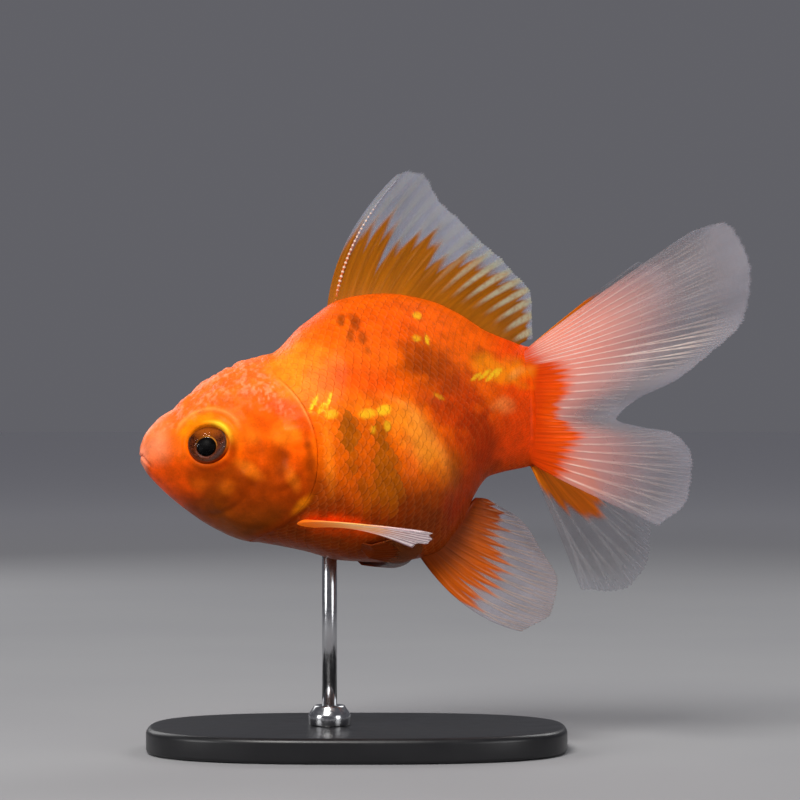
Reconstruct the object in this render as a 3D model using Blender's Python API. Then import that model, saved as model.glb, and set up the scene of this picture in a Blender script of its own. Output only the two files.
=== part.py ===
"""Fancy goldfish with a twin tail, life size, swimming, held over the floor by a plain display stand.

Blender 4.5, metres, +Z up. The fish is laid out straight in its own frame: distance back from the
snout tip along +X, left side at -Y, up at +Z. place() then curves the tail stalk to the right, and
rolls, turns and lifts the whole fish over the stand, whose underside is centred on the origin.
"""

import math

import bmesh
import bpy
import numpy as np

MM = 0.001

# Where each piece stops short of its neighbour.
GAP = 0.3 * MM

# --- Pose of the fish over the stand ---
FISH_HEIGHT = 70 * MM
PIVOT = np.array([43, 0, -5]) * MM
YAW = math.radians(7)
ROLL = math.radians(9)
TAIL_TURN = math.radians(9)
BEND_FROM, BEND_TO = 46 * MM, 78 * MM

# --- Body: station, height of back, height of belly, half width, height of the widest level ---
BODY_LENGTH = 78 * MM
BODY_STATIONS = [
    (0, -9.5, -12.8, 1.7, -11.2),
    (1.2, -7.3, -14.8, 3.4, -11.1),
    (3.4, -4.6, -17.2, 5.4, -11.0),
    (8, 0.2, -21.3, 8.2, -10.8),
    (14, 4.5, -25.4, 10.6, -11.2),
    (20, 7.8, -28.0, 12.4, -12.0),
    (25.5, 9.4, -28.9, 14.0, -12.5),
    (32, 15.4, -30.2, 15.8, -12.5),
    (40, 20.8, -32.3, 17.0, -12.5),
    (49, 22.1, -32.7, 16.4, -12.0),
    (58, 20.7, -31.2, 12.8, -9.5),
    (64, 18.2, -25.0, 8.8, -5.0),
    (70, 14.6, -15.6, 5.6, -1.5),
    (78, 11.8, -13.4, 2.7, -1.0),
]
# How square the section is above and below its widest level: 2 is an ellipse.
BACK_FULLNESS = [(0, 2.0), (14, 2.3), (25, 2.1), (38, 1.8), (78, 1.9)]
BELLY_FULLNESS = [(0, 2.0), (20, 2.1), (45, 2.3), (60, 2.0), (78, 1.9)]
AROUND = 32

# --- Cuts that part the body ---
LIPS_LENGTH = 2.6 * MM
MOUTH_HEIGHT, MOUTH_DROP = -11.1 * MM, 0.8 * MM
GILL_REAR, GILL_RISE, GILL_DROP = 33.3 * MM, 8.8 * MM, 12.0 * MM
STALK_START = 65 * MM
# The cut faces run straight in from the skin to this share of the section, and then to its middle.
CAP_SHRINK = 0.74

# --- Gill covers: the span down and up the flank, the widest reach forward, and the plate ---
COVER_STEPS_DOWN, COVER_STEPS_UP = 5, 4
COVER_REACH, COVER_NARROW = 9.5 * MM, 1.6 * MM
COVER_DEPTH, COVER_PROUD = 1.7 * MM, 0.5 * MM
COVER_GAP = 1.4 * GAP
HALF_DEPTH_AT_COVER = 14 * MM

# --- Eyes ---
EYE_CENTRE = np.array([13.2, -8.1, -10.4]) * MM
EYE_RADIUS = 4.6 * MM
EYE_FLATNESS = 0.72
EYE_RINGS, EYE_AROUND = 8, 18
EYE_FORWARD, EYE_UP = math.radians(14), math.radians(7)

# --- Fins: thickness at the edge ---
FIN_EDGE = 0.55 * MM

# --- Stand ---
BASE_SIZE = np.array([84, 50, 5]) * MM
BASE_EDGE = 1.2 * MM
COLLAR_RADIUS, COLLAR_HEIGHT = 4.2 * MM, 4.0 * MM
ROD_RADIUS = 1.5 * MM
ROD_AT = -5.5 * MM


# ---------------------------------------------------------------- curves

def smooth_curve(places, rows):
    """A function through the given rows of values, smooth and with no overshoot between them."""
    x = np.array(places, float)
    y = np.array(rows, float).reshape(len(x), -1)
    step = np.diff(x)[:, None]
    slope = np.diff(y, axis=0) / step
    same = slope[1:] * slope[:-1] > 0
    weight_a, weight_b = 2 * step[1:] + step[:-1], step[1:] + 2 * step[:-1]
    safe = np.where(same, slope[1:] * slope[:-1], 1.0)
    blend = (weight_a * np.where(same, slope[1:], 1.0) + weight_b * np.where(same, slope[:-1], 1.0))
    inner = np.where(same, (weight_a + weight_b) * safe / np.where(same, blend, 1.0), 0.0)
    tangent = np.vstack([slope[:1], inner, slope[-1:]])

    def at(place):
        place = np.clip(np.asarray(place, float), x[0], x[-1])
        i = np.clip(np.searchsorted(x, place) - 1, 0, len(x) - 2)
        h = (x[i + 1] - x[i])[..., None]
        t = ((place - x[i])[..., None]) / h
        return (
            (2 * t**3 - 3 * t**2 + 1) * y[i]
            + (t**3 - 2 * t**2 + t) * h * tangent[i]
            + (3 * t**2 - 2 * t**3) * y[i + 1]
            + (t**3 - t**2) * h * tangent[i + 1]
        )

    return at


def table(rows, scale=MM):
    """A smooth curve from rows of (place in mm, values)."""
    data = np.array(rows, float)
    return smooth_curve(data[:, 0] * MM, data[:, 1:] * scale)


BODY_SHAPE = table(BODY_STATIONS)
BACK_SHAPE = table(BACK_FULLNESS, 1.0)
BELLY_SHAPE = table(BELLY_FULLNESS, 1.0)


# ---------------------------------------------------------------- pose

def bend_table():
    """The curved axis of the swimming fish: place along it, and the direction there, by distance back."""
    along = np.linspace(-10, 140, 1501) * MM
    share = np.clip((along - BEND_FROM) / (BEND_TO - BEND_FROM), 0, 1)
    turn = TAIL_TURN * share * share * (3 - 2 * share)
    step = along[1] - along[0]
    start = int(round((0 - along[0]) / step))
    x = np.cumsum(np.cos(turn)) * step
    y = np.cumsum(np.sin(turn)) * step
    return along, turn, x - x[start], y - y[start]


BEND = bend_table()


def place(points):
    """Points of the straight fish, put where they are on the posed fish."""
    points = np.asarray(points, float)
    along, turn_at, x_at, y_at = BEND
    turn = np.interp(points[..., 0], along, turn_at)
    x = np.interp(points[..., 0], along, x_at) - points[..., 1] * np.sin(turn) - PIVOT[0]
    y = np.interp(points[..., 0], along, y_at) + points[..., 1] * np.cos(turn) - PIVOT[1]
    z = points[..., 2] - PIVOT[2]
    y, z = y * math.cos(ROLL) + z * math.sin(ROLL), z * math.cos(ROLL) - y * math.sin(ROLL)
    x, y = x * math.cos(YAW) - y * math.sin(YAW), x * math.sin(YAW) + y * math.cos(YAW)
    return np.stack([x, y, z + PIVOT[2] + FISH_HEIGHT], axis=-1)


# ---------------------------------------------------------------- body surface

def signed_power(value, power):
    return np.sign(value) * np.abs(value) ** power


def body_point(along, around):
    """The body's surface. around is 0 on the left flank, a quarter turn on the back, half on the right."""
    along, around = np.broadcast_arrays(np.asarray(along, float), np.asarray(around, float))
    back, belly, half_width, widest = np.moveaxis(BODY_SHAPE(along), -1, 0)
    sine, cosine = np.sin(around), np.cos(around)
    fullness = np.where(sine > 0, BACK_SHAPE(along)[..., 0], BELLY_SHAPE(along)[..., 0])
    reach = np.where(sine > 0, back - widest, widest - belly)
    y = -half_width * signed_power(cosine, 2 / fullness)
    z = widest + reach * signed_power(sine, 2 / fullness)
    return np.stack([along, y, z], axis=-1)


def body_shell(along, around, out):
    """The body's surface moved outwards by the distance out."""
    along, around = np.broadcast_arrays(np.asarray(along, float), np.asarray(around, float))
    ahead, behind = np.clip(along - 0.2 * MM, 0, None), np.clip(along + 0.2 * MM, None, BODY_LENGTH)
    lengthwise = body_point(behind, around) - body_point(ahead, around)
    sideways = body_point(along, around + 0.02) - body_point(along, around - 0.02)
    normal = np.cross(lengthwise, sideways)
    normal /= np.maximum(np.linalg.norm(normal, axis=-1, keepdims=True), 1e-12)
    return body_point(along, around) + normal * np.asarray(out)[..., None]


def gill_line(around):
    """How far back the gill slit lies, all the way round the body."""
    sine, cosine = np.sin(around), np.cos(around)
    above = GILL_RISE * (1 - np.abs(cosine) ** 5)
    below = GILL_DROP * np.abs(sine) ** 2.7
    return GILL_REAR - np.where(sine > 0, above, below)


# ---------------------------------------------------------------- meshes

def material(name, colour, roughness=0.45, metallic=0.0, alpha=1.0):
    made = bpy.data.materials.new(name)
    made.use_nodes = True
    shader = made.node_tree.nodes["Principled BSDF"]
    shader.inputs["Base Color"].default_value = (*colour, 1.0)
    shader.inputs["Roughness"].default_value = roughness
    shader.inputs["Metallic"].default_value = metallic
    shader.inputs["Alpha"].default_value = alpha
    return made


def add_object(name, points, faces, finish, sharp=40):
    """A closed mesh object with its faces turned outwards."""
    mesh = bpy.data.meshes.new(name)
    mesh.from_pydata([tuple(p) for p in points], [], faces)
    shape = bmesh.new()
    shape.from_mesh(mesh)
    bmesh.ops.recalc_face_normals(shape, faces=shape.faces)
    shape.to_mesh(mesh)
    shape.free()
    mesh.shade_smooth()
    mesh.set_sharp_from_angle(angle=math.radians(sharp))
    if finish:
        mesh.materials.append(finish)
    obj = bpy.data.objects.new(name, mesh)
    bpy.context.scene.collection.objects.link(obj)
    return obj


def as_cutter(obj):
    obj.hide_render = True
    obj.display_type = "WIRE"
    return obj


def cut(obj, cutter):
    boolean = obj.modifiers.new("Cut by " + cutter.name, "BOOLEAN")
    boolean.operation = "DIFFERENCE"
    boolean.solver = "EXACT"
    boolean.object = cutter


def ring_faces(rings, around):
    """Faces between the rings of a tube, with a fan to a centre point at each end.

    The end strips are split so that two pieces parted by a cut have matching faces along it."""
    faces = []
    for i in range(rings - 1):
        for j in range(around):
            k = (j + 1) % around
            a, b, c, d = i * around + j, i * around + k, (i + 1) * around + k, (i + 1) * around + j
            if i == 0:
                faces += [(a, b, d), (b, c, d)]
            elif i == rings - 2:
                faces += [(a, b, c), (a, c, d)]
            else:
                faces.append((a, b, c, d))
    first, last = rings * around, rings * around + 1
    for j in range(around):
        k = (j + 1) % around
        faces.append((first, k, j))
        faces.append((last, (rings - 1) * around + j, (rings - 1) * around + k))
    return faces


def shrunk(ring):
    """A ring of the body drawn in towards the body's axis, each point as far back as it was."""
    axis = np.stack([ring[:, 0], 0 * ring[:, 0], BODY_SHAPE(ring[:, 0])[:, 3]], axis=-1)
    return axis + (ring - axis) * CAP_SHRINK


def body_length(name, front, rear, shares, finish, out=0.0):
    """A closed length of the body between two cuts, each a function of the angle around."""
    around = np.linspace(0, 2 * math.pi, AROUND, endpoint=False)
    start, end = front(around), rear(around)
    rings = [body_shell(start + (end - start) * share, around, np.full(AROUND, out)) for share in shares]
    points = np.array(rings)
    if out:
        points[0, :, 0] -= out
        points[-1, :, 0] += out
    points = np.concatenate([[shrunk(points[0])], points, [shrunk(points[-1])]])
    middles = [points[0].mean(0), points[-1].mean(0)]
    flat = np.vstack([points.reshape(-1, 3), middles])
    return add_object(name, place(flat), ring_faces(len(points), AROUND), finish)


def grid_solid(name, outer, inner, finish, sharp=40):
    """A closed plate between two grids of points with the same rows and columns."""
    rows, columns = outer.shape[:2]
    size = rows * columns
    faces = []
    for i in range(rows - 1):
        for j in range(columns - 1):
            a, b = i * columns + j, (i + 1) * columns + j
            faces.append((a, b, b + 1, a + 1))
            faces.append((size + a, size + a + 1, size + b + 1, size + b))
    rim = [j for j in range(columns)]
    rim += [i * columns + columns - 1 for i in range(1, rows)]
    rim += [(rows - 1) * columns + j for j in range(columns - 2, -1, -1)]
    rim += [i * columns for i in range(rows - 2, 0, -1)]
    for here, after in zip(rim, rim[1:] + rim[:1]):
        faces.append((here, after, size + after, size + here))
    points = np.vstack([outer.reshape(-1, 3), inner.reshape(-1, 3)])
    return add_object(name, points, faces, finish, sharp)


# ---------------------------------------------------------------- body pieces

def evenly(count):
    return np.linspace(0, 1, count)


def constant(value):
    return lambda around: np.full(np.shape(around), value)


def make_lips(finish):
    """The two lips: the front of the body, parted by the thin slit of the closed mouth."""
    shares = np.array([0.0, 0.12, 0.3, 0.55, 1.0])
    beyond, aside, far = 2 * MM, 6 * MM, 18 * MM
    for name, side in (("lip_upper", 1), ("lip_lower", -1)):
        lip = body_length(name, constant(0.0), constant(LIPS_LENGTH - GAP / 2), shares, finish)
        corners = []
        for back in (-beyond, LIPS_LENGTH + beyond):
            slit = MOUTH_HEIGHT - MOUTH_DROP * back / LIPS_LENGTH
            for height in (slit + side * GAP / 2, slit - side * far):
                corners += [(back, -aside, height), (back, aside, height)]
        faces = [(0, 1, 3, 2), (4, 6, 7, 5), (0, 4, 5, 1), (2, 3, 7, 6), (0, 2, 6, 4), (1, 5, 7, 3)]
        blade = add_object(name + "_blade", place(corners), faces, None)
        cut(lip, as_cutter(blade))


def eye_points(side, grow):
    """A flattened ball looking out of the side of the head, a little forwards and up."""
    axis = np.array([-math.sin(EYE_FORWARD), -math.cos(EYE_FORWARD), math.sin(EYE_UP)])
    axis /= np.linalg.norm(axis)
    across = np.cross(axis, [0, 0, 1])
    across /= np.linalg.norm(across)
    upward = np.cross(across, axis)
    points = [[0, 0, EYE_FLATNESS * EYE_RADIUS + grow]]
    for i in range(1, EYE_RINGS):
        tilt = math.pi * i / EYE_RINGS
        for j in range(EYE_AROUND):
            turn = 2 * math.pi * j / EYE_AROUND
            wide = (EYE_RADIUS + grow) * math.sin(tilt)
            deep = (EYE_RADIUS * EYE_FLATNESS + grow) * math.cos(tilt)
            points.append([wide * math.cos(turn), wide * math.sin(turn), deep])
    points.append([0, 0, -EYE_FLATNESS * EYE_RADIUS - grow])
    local = np.array(points)
    world = EYE_CENTRE + local[:, :1] * across + local[:, 1:2] * upward + local[:, 2:] * axis
    world[:, 1] *= -side
    return world


def ball_faces(rings=EYE_RINGS, around=EYE_AROUND):
    """The faces of a ball made of rings between two poles."""
    faces = [(0, 1 + j, 1 + (j + 1) % around) for j in range(around)]
    for i in range(rings - 2):
        for j in range(around):
            a, b = 1 + i * around + j, 1 + i * around + (j + 1) % around
            faces.append((a, a + around, b + around, b))
    last = 1 + (rings - 1) * around
    faces += [(last, last - around + (j + 1) % around, last - around + j) for j in range(around)]
    return faces


def cover_shape(side, grow):
    """The rows and columns of a gill cover: angles round the flank, places from front to rear."""
    angles = np.arange(-COVER_STEPS_DOWN, COVER_STEPS_UP + 1) * 2 * math.pi / AROUND
    share = np.linspace(-1, 1, len(angles))
    bulge = np.sqrt(1 - share**2)
    angles = angles + np.where(np.abs(share) == 1, share, 0) * grow / HALF_DEPTH_AT_COVER
    rear = gill_line(angles) - COVER_GAP
    front = rear - COVER_NARROW - COVER_REACH * bulge - grow
    if grow:
        rear = rear + 3 * MM
    along = front[:, None] + (rear - front)[:, None] * evenly(6)
    around = np.broadcast_to(angles[:, None], along.shape)
    return along, around if side < 0 else math.pi - around


def make_gill_cover(name, side, finish):
    along, around = cover_shape(side, 0.0)
    lift = COVER_PROUD * evenly(along.shape[1]) ** 2
    outer = body_shell(along, around, np.broadcast_to(lift, along.shape))
    inner = body_shell(along, around, np.full(along.shape, -COVER_DEPTH))
    outer[..., 0] = inner[..., 0] = along
    return grid_solid(name, place(outer), place(inner), finish)


def make_cover_seat(name, side):
    """The cutter that leaves room in the head for a gill cover."""
    along, around = cover_shape(side, GAP)
    outer = body_shell(along, around, np.full(along.shape, 4 * MM))
    inner = body_shell(along, around, np.full(along.shape, -COVER_DEPTH - GAP))
    outer[..., 0] = inner[..., 0] = along
    return as_cutter(grid_solid(name, place(outer), place(inner), None))


def make_head(finish, eye_finish, cover_finish):
    shares = evenly(12) ** 1.15
    head = body_length(
        "head", constant(LIPS_LENGTH + GAP / 2), lambda around: gill_line(around) - GAP / 2, shares, finish
    )
    for side, word in ((-1, "left"), (1, "right")):
        add_object("eye_" + word, place(eye_points(side, 0.0)), ball_faces(), eye_finish)
        socket = add_object("socket_" + word, place(eye_points(side, GAP)), ball_faces(), None)
        cut(head, as_cutter(socket))
        make_gill_cover("gill_cover_" + word, side, cover_finish)
        cut(head, make_cover_seat("cover_seat_" + word, side))


def make_trunk_and_stalk(finish):
    body_length(
        "trunk",
        lambda around: gill_line(around) + GAP / 2,
        constant(STALK_START - GAP / 2),
        evenly(11),
        finish,
    )
    body_length("tail_stalk", constant(STALK_START + GAP / 2), constant(BODY_LENGTH), evenly(6), finish)


# ---------------------------------------------------------------- fins

def fin_sheet(root, margin, bow, across, along, spread=None):
    """The mid surface of a fin: rays run from the root to the margin, each bowed by a share of its length.

    root and margin are rows of (share of the way from the first ray to the last, x, y, z) in mm."""
    shares = evenly(across + 1)
    root_rows, margin_rows = np.array(root, float), np.array(margin, float)
    start = smooth_curve(root_rows[:, 0], root_rows[:, 1:] * MM)(shares)
    end = smooth_curve(margin_rows[:, 0], margin_rows[:, 1:] * MM)(shares)
    bow_rows = np.array(bow, float)
    middle = (start + end) / 2 + smooth_curve(bow_rows[:, 0], bow_rows[:, 1:] * MM)(shares)
    t = (evenly(along + 1) ** 0.9)[None, :, None]
    sheet = (1 - t) ** 2 * start[:, None] + 2 * t * (1 - t) * middle[:, None] + t**2 * end[:, None]
    return spread(sheet) if spread else sheet


def fin_solid(name, sheet, base_thickness, finish, fleshy=0.35):
    """The fin as a plate: thick at its fleshy root and FIN_EDGE thick at its margin."""
    posed = place(sheet)
    along_rays = np.gradient(posed, axis=1)
    across_rays = np.gradient(posed, axis=0)
    normal = np.cross(across_rays, along_rays)
    normal /= np.linalg.norm(normal, axis=-1, keepdims=True)
    t = evenly(sheet.shape[1])
    swell = np.clip(1 - t / fleshy, 0, 1) ** 1.5
    half = (FIN_EDGE + (base_thickness - FIN_EDGE) * swell) / 2
    offset = normal * half[None, :, None]
    return grid_solid(name, posed + offset, posed - offset, finish)


# Rows are (share from the first ray to the last, back, sideways, up), in mm.
DORSAL_ROOT = [(0, 37.2, 0, 17.5), (0.35, 49, 0, 20.2), (0.7, 62, 0, 17.2), (1, 75, 0, 10.4)]
DORSAL_MARGIN = [
    (0, 52.4, 0.0, 46.6),
    (0.12, 56.8, 0.6, 46.6),
    (0.3, 61.6, 1.2, 40.8),
    (0.5, 68.2, 0.8, 33.4),
    (0.68, 74.2, -0.4, 27.4),
    (0.84, 78.6, -1.2, 22.0),
    (1, 78.8, -0.6, 13.0),
]
DORSAL_BOW = [(0, -6.2, 0, 1.6), (0.3, -2.4, 0.3, 1.0), (1, 0, -0.4, 0.8)]

ANAL_ROOT = [(0, 56.2, 0, -30.5), (0.5, 61, 0, -27), (1, 67, 0, -19.6)]
ANAL_MARGIN = [
    (0, 77.4, 0.0, -46.0),
    (0.2, 82.2, 0.8, -42.0),
    (0.45, 83.6, 1.4, -36.0),
    (0.7, 80.6, 1.0, -29.0),
    (0.88, 76.0, 0.4, -23.6),
    (1, 71.0, 0.0, -20.8),
]
ANAL_BOW = [(0, -2.2, 0, -5.4), (0.5, 0.6, 0.4, -1.6), (1, 0.6, 0, 0.6)]

# A tail fin is drawn flat and upright, and then swung outwards about its root line.
TAIL_ROOT = [(0, 78.4, -1.45, 11.6), (0.5, 78.4, -1.45, -0.6), (1, 78.4, -1.45, -13.0)]
TAIL_SPREAD_FROM = 78 * MM
LEFT_TAIL_MARGIN = [
    (0, 112.5, -1.45, 34.0),
    (0.06, 118.0, -1.45, 35.6),
    (0.12, 121.5, -1.45, 32.6),
    (0.2, 123.6, -1.45, 27.4),
    (0.28, 123.6, -1.45, 22.0),
    (0.37, 120.6, -1.45, 15.6),
    (0.46, 114.5, -1.45, 8.0),
    (0.54, 107.5, -1.45, 2.4),
    (0.6, 100.5, -1.45, -1.0),
    (0.65, 96.5, -1.45, -4.4),
    (0.7, 101.0, -1.45, -6.2),
    (0.78, 108.5, -1.45, -8.4),
    (0.86, 112.2, -1.45, -14.4),
    (0.94, 110.8, -1.45, -21.8),
    (1, 105.0, -1.45, -27.0),
]
RIGHT_TAIL_MARGIN = [
    (0, 111.0, -1.45, 35.4),
    (0.07, 117.0, -1.45, 36.0),
    (0.18, 121.5, -1.45, 29.5),
    (0.32, 119.0, -1.45, 18.0),
    (0.46, 111.0, -1.45, 6.0),
    (0.6, 98.0, -1.45, -6.0),
    (0.68, 109.0, -1.45, -11.0),
    (0.78, 118.0, -1.45, -19.0),
    (0.88, 116.5, -1.45, -29.0),
    (0.95, 106.0, -1.45, -36.6),
    (1, 95.0, -1.45, -37.4),
]
TAIL_BOW = [(0, -0.6, 0, 0.6), (0.5, 0, 0, 0), (1, 0.4, 0, -0.4)]


def swing(top, bottom, lift, cup, side):
    """Turns a flat tail fin outwards, from top at its first ray to bottom at its last, and cups it."""

    def spread(sheet):
        turn = np.linspace(math.radians(top), math.radians(bottom), sheet.shape[0])[:, None]
        reach = np.clip(sheet[..., 0] - TAIL_SPREAD_FROM, 0, None)
        soft = reach**2 / (reach + 4 * MM)
        out = soft * np.sin(turn) + cup * MM * (reach / (45 * MM)) ** 2
        back = sheet[..., 0] - reach + reach * np.cos(turn)
        y = sheet[..., 1] - out
        z = sheet[..., 2] + reach * math.tan(math.radians(lift))
        return np.stack([back, -side * y, z], axis=-1)

    return spread


LEFT_SWING = dict(top=22, bottom=36, lift=0, cup=2.5)
RIGHT_SWING = dict(top=22, bottom=34, lift=0, cup=2.5)

# Paired fins are drawn on the left, and turned over for the right.
PECTORAL_ROOT = [(0, 28.6, -8.8, -25.2), (1, 29.8, -7.2, -26.6)]
PECTORAL_MARGIN = [
    (0, 51.0, -25.0, -29.4),
    (0.25, 54.2, -22.6, -29.7),
    (0.5, 55.0, -19.8, -30.2),
    (0.75, 52.8, -16.6, -30.9),
    (1, 48.0, -14.4, -31.6),
]
PECTORAL_BOW = [(0, 0, -3.4, 0.6), (1, 0, -3.0, 0.0)]

PELVIC_ANGLES = math.radians(-74), math.radians(-54)
PELVIC_FROM, PELVIC_LENGTH, PELVIC_LIFT = 42.0 * MM, 12.5 * MM, 0.2 * MM


def mirrored(sheet):
    turned = sheet.copy()
    turned[..., 1] *= -1
    return turned


def pelvic_sheet(across=7, along=6):
    """A small fan folded back along the underside of the belly, its tip standing a little away from it."""
    share, reach = np.meshgrid(evenly(across + 1), evenly(along + 1), indexing="ij")
    rounded = 1 - 0.3 * (2 * share - 1) ** 2
    low, high = PELVIC_ANGLES
    fan = 0.18 + 0.82 * reach**0.8
    around = (low + high) / 2 + (share - 0.5) * (high - low) * fan * 1.6
    place_back = PELVIC_FROM + PELVIC_LENGTH * reach * rounded
    lift = -1.0 * MM + (1.0 * MM + GAP + FIN_EDGE) * np.clip(reach * 4, 0, 1) + PELVIC_LIFT * reach**1.5
    return body_shell(place_back, around, lift)


def make_fins(finish):
    whole = constant(0.0), constant(BODY_LENGTH)
    skin = as_cutter(body_length("skin_cutter", *whole, evenly(34), None, out=GAP))
    fins = [
        fin_solid("dorsal_fin", fin_sheet(DORSAL_ROOT, DORSAL_MARGIN, DORSAL_BOW, 20, 8), 2.2 * MM, finish),
        fin_solid("anal_fin", fin_sheet(ANAL_ROOT, ANAL_MARGIN, ANAL_BOW, 12, 7), 2.4 * MM, finish),
    ]
    for word, side, margin, turn in (
        ("left", -1, LEFT_TAIL_MARGIN, LEFT_SWING),
        ("right", 1, RIGHT_TAIL_MARGIN, RIGHT_SWING),
    ):
        tail = fin_sheet(TAIL_ROOT, margin, TAIL_BOW, 25, 9, swing(side=side, **turn))
        fins.append(fin_solid("tail_fin_" + word, tail, 2.6 * MM, finish))
        pectoral = fin_sheet(PECTORAL_ROOT, PECTORAL_MARGIN, PECTORAL_BOW, 8, 7)
        pelvic = pelvic_sheet()
        for fin_name, sheet, base in (("pectoral", pectoral, 1.6 * MM), ("pelvic", pelvic, 0.9 * MM)):
            shown = sheet if side < 0 else mirrored(sheet)
            fins.append(fin_solid(f"{fin_name}_fin_{word}", shown, base, finish))
    for fin in fins:
        cut(fin, skin)
    return skin


# ---------------------------------------------------------------- stand

def turned(name, profile, sides, finish, sharp=30):
    """A round upright piece of the stand, from (radius, height) points listed from its foot up."""
    points = []
    for radius, height in profile:
        for j in range(sides):
            turn = 2 * math.pi * j / sides
            points.append((ROD_AT + radius * math.cos(turn), radius * math.sin(turn), height))
    points += [(ROD_AT, 0, profile[0][1]), (ROD_AT, 0, profile[-1][1])]
    return add_object(name, points, ring_faces(len(profile), sides), finish, sharp)


def make_base(finish):
    """A flat oval base with softened edges."""
    half_x, half_y, height = BASE_SIZE[0] / 2, BASE_SIZE[1] / 2, BASE_SIZE[2]
    layers = [(-BASE_EDGE, 0), (0, BASE_EDGE * 0.7), (0, height - BASE_EDGE), (-BASE_EDGE, height)]
    sides = 40
    points = []
    for inset, level in layers:
        for j in range(sides):
            turn = 2 * math.pi * j / sides
            x = (half_x + inset) * signed_power(math.cos(turn), 0.75)
            y = (half_y + inset) * signed_power(math.sin(turn), 0.75)
            points.append((x, y, level))
    points += [(0, 0, 0), (0, 0, height)]
    return add_object("stand_base", points, ring_faces(len(layers), sides), finish, 25)


def make_stand(base_finish, rod_finish, skin):
    make_base(base_finish)
    foot = BASE_SIZE[2] + GAP
    collar = [
        (COLLAR_RADIUS, foot),
        (COLLAR_RADIUS, foot + COLLAR_HEIGHT * 0.55),
        (COLLAR_RADIUS * 0.7, foot + COLLAR_HEIGHT),
    ]
    turned("stand_collar", collar, 28, rod_finish)
    rod_foot = foot + COLLAR_HEIGHT + GAP
    inside_belly = FISH_HEIGHT - 20 * MM
    rod = turned("stand_rod", [(ROD_RADIUS, rod_foot), (ROD_RADIUS, inside_belly)], 20, rod_finish)
    cut(rod, skin)


def build():
    for obj in list(bpy.data.objects):
        bpy.data.objects.remove(obj)
    flesh = material("orange skin", (0.86, 0.20, 0.02), 0.38)
    lips = material("pink orange lips", (0.90, 0.33, 0.16), 0.40)
    eyes = material("dark eye", (0.05, 0.025, 0.015), 0.08)
    fins = material("clear pinkish fin", (0.80, 0.62, 0.58), 0.35, alpha=0.8)
    black = material("satin black", (0.02, 0.02, 0.022), 0.35)
    steel = material("brushed steel", (0.62, 0.62, 0.64), 0.28, 1.0)
    make_lips(lips)
    make_head(flesh, eyes, flesh)
    make_trunk_and_stalk(flesh)
    skin = make_fins(fins)
    make_stand(black, steel, skin)


build()
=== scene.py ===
"""The looks of the fancy goldfish: one skin with solid scales over it, veined fins, glass-like eyes, a stand.

Metres, +Z up. The fish is shaped straight in its own frame, as in the part's source: distance back from
the snout tip along +X, left side at -Y, up at +Z, and place() then puts it in its pose over the stand.
"""

import math

import bmesh
import bpy
import numpy as np
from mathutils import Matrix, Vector


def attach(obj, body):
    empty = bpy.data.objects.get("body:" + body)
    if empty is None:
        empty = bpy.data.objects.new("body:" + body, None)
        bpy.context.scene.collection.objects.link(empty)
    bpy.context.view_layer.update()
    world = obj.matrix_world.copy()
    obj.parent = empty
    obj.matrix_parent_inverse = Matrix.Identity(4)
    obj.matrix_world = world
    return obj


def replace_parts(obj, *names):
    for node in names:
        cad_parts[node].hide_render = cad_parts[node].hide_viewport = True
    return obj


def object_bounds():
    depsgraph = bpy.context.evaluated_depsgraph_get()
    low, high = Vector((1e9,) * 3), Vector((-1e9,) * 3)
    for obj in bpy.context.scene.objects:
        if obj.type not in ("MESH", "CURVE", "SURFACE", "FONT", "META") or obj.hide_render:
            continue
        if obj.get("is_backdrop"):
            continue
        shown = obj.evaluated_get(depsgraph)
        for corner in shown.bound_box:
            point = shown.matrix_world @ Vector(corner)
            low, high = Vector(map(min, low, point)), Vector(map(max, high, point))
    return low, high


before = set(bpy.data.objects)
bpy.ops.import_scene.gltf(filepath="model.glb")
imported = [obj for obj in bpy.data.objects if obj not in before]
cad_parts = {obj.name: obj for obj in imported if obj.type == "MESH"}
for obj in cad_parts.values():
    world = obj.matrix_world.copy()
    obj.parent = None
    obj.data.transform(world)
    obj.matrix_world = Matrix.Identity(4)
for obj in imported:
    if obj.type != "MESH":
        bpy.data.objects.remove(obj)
cad_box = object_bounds()

MM = 0.001
BODY = "root"

# --- Pose of the fish over the stand, as in the part's source ---
FISH_HEIGHT = 70 * MM
PIVOT = np.array([43, 0, -5]) * MM
YAW = math.radians(7)
ROLL = math.radians(9)
TAIL_TURN = math.radians(9)
BEND_FROM, BEND_TO = 46 * MM, 78 * MM

# --- Body: station, height of back, height of belly, half width, height of the widest level ---
BODY_LENGTH = 78 * MM
BODY_STATIONS = [
    (0, -9.5, -12.8, 1.7, -11.2), (1.2, -7.3, -14.8, 3.4, -11.1), (3.4, -4.6, -17.2, 5.4, -11.0),
    (8, 0.2, -21.3, 8.2, -10.8), (14, 4.5, -25.4, 10.6, -11.2), (20, 7.8, -28.0, 12.4, -12.0),
    (25.5, 9.4, -28.9, 14.0, -12.5), (32, 15.4, -30.2, 15.8, -12.5), (40, 20.8, -32.3, 17.0, -12.5),
    (49, 22.1, -32.7, 16.4, -12.0), (58, 20.7, -31.2, 12.8, -9.5), (64, 18.2, -25.0, 8.8, -5.0),
    (70, 14.6, -15.6, 5.6, -1.5), (78, 11.8, -13.4, 2.7, -1.0),
]
BACK_FULLNESS = [(0, 2.0), (14, 2.3), (25, 2.1), (38, 1.8), (78, 1.9)]
BELLY_FULLNESS = [(0, 2.0), (20, 2.1), (45, 2.3), (60, 2.0), (78, 1.9)]
GILL_REAR, GILL_RISE, GILL_DROP = 33.3 * MM, 8.8 * MM, 12.0 * MM

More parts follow.
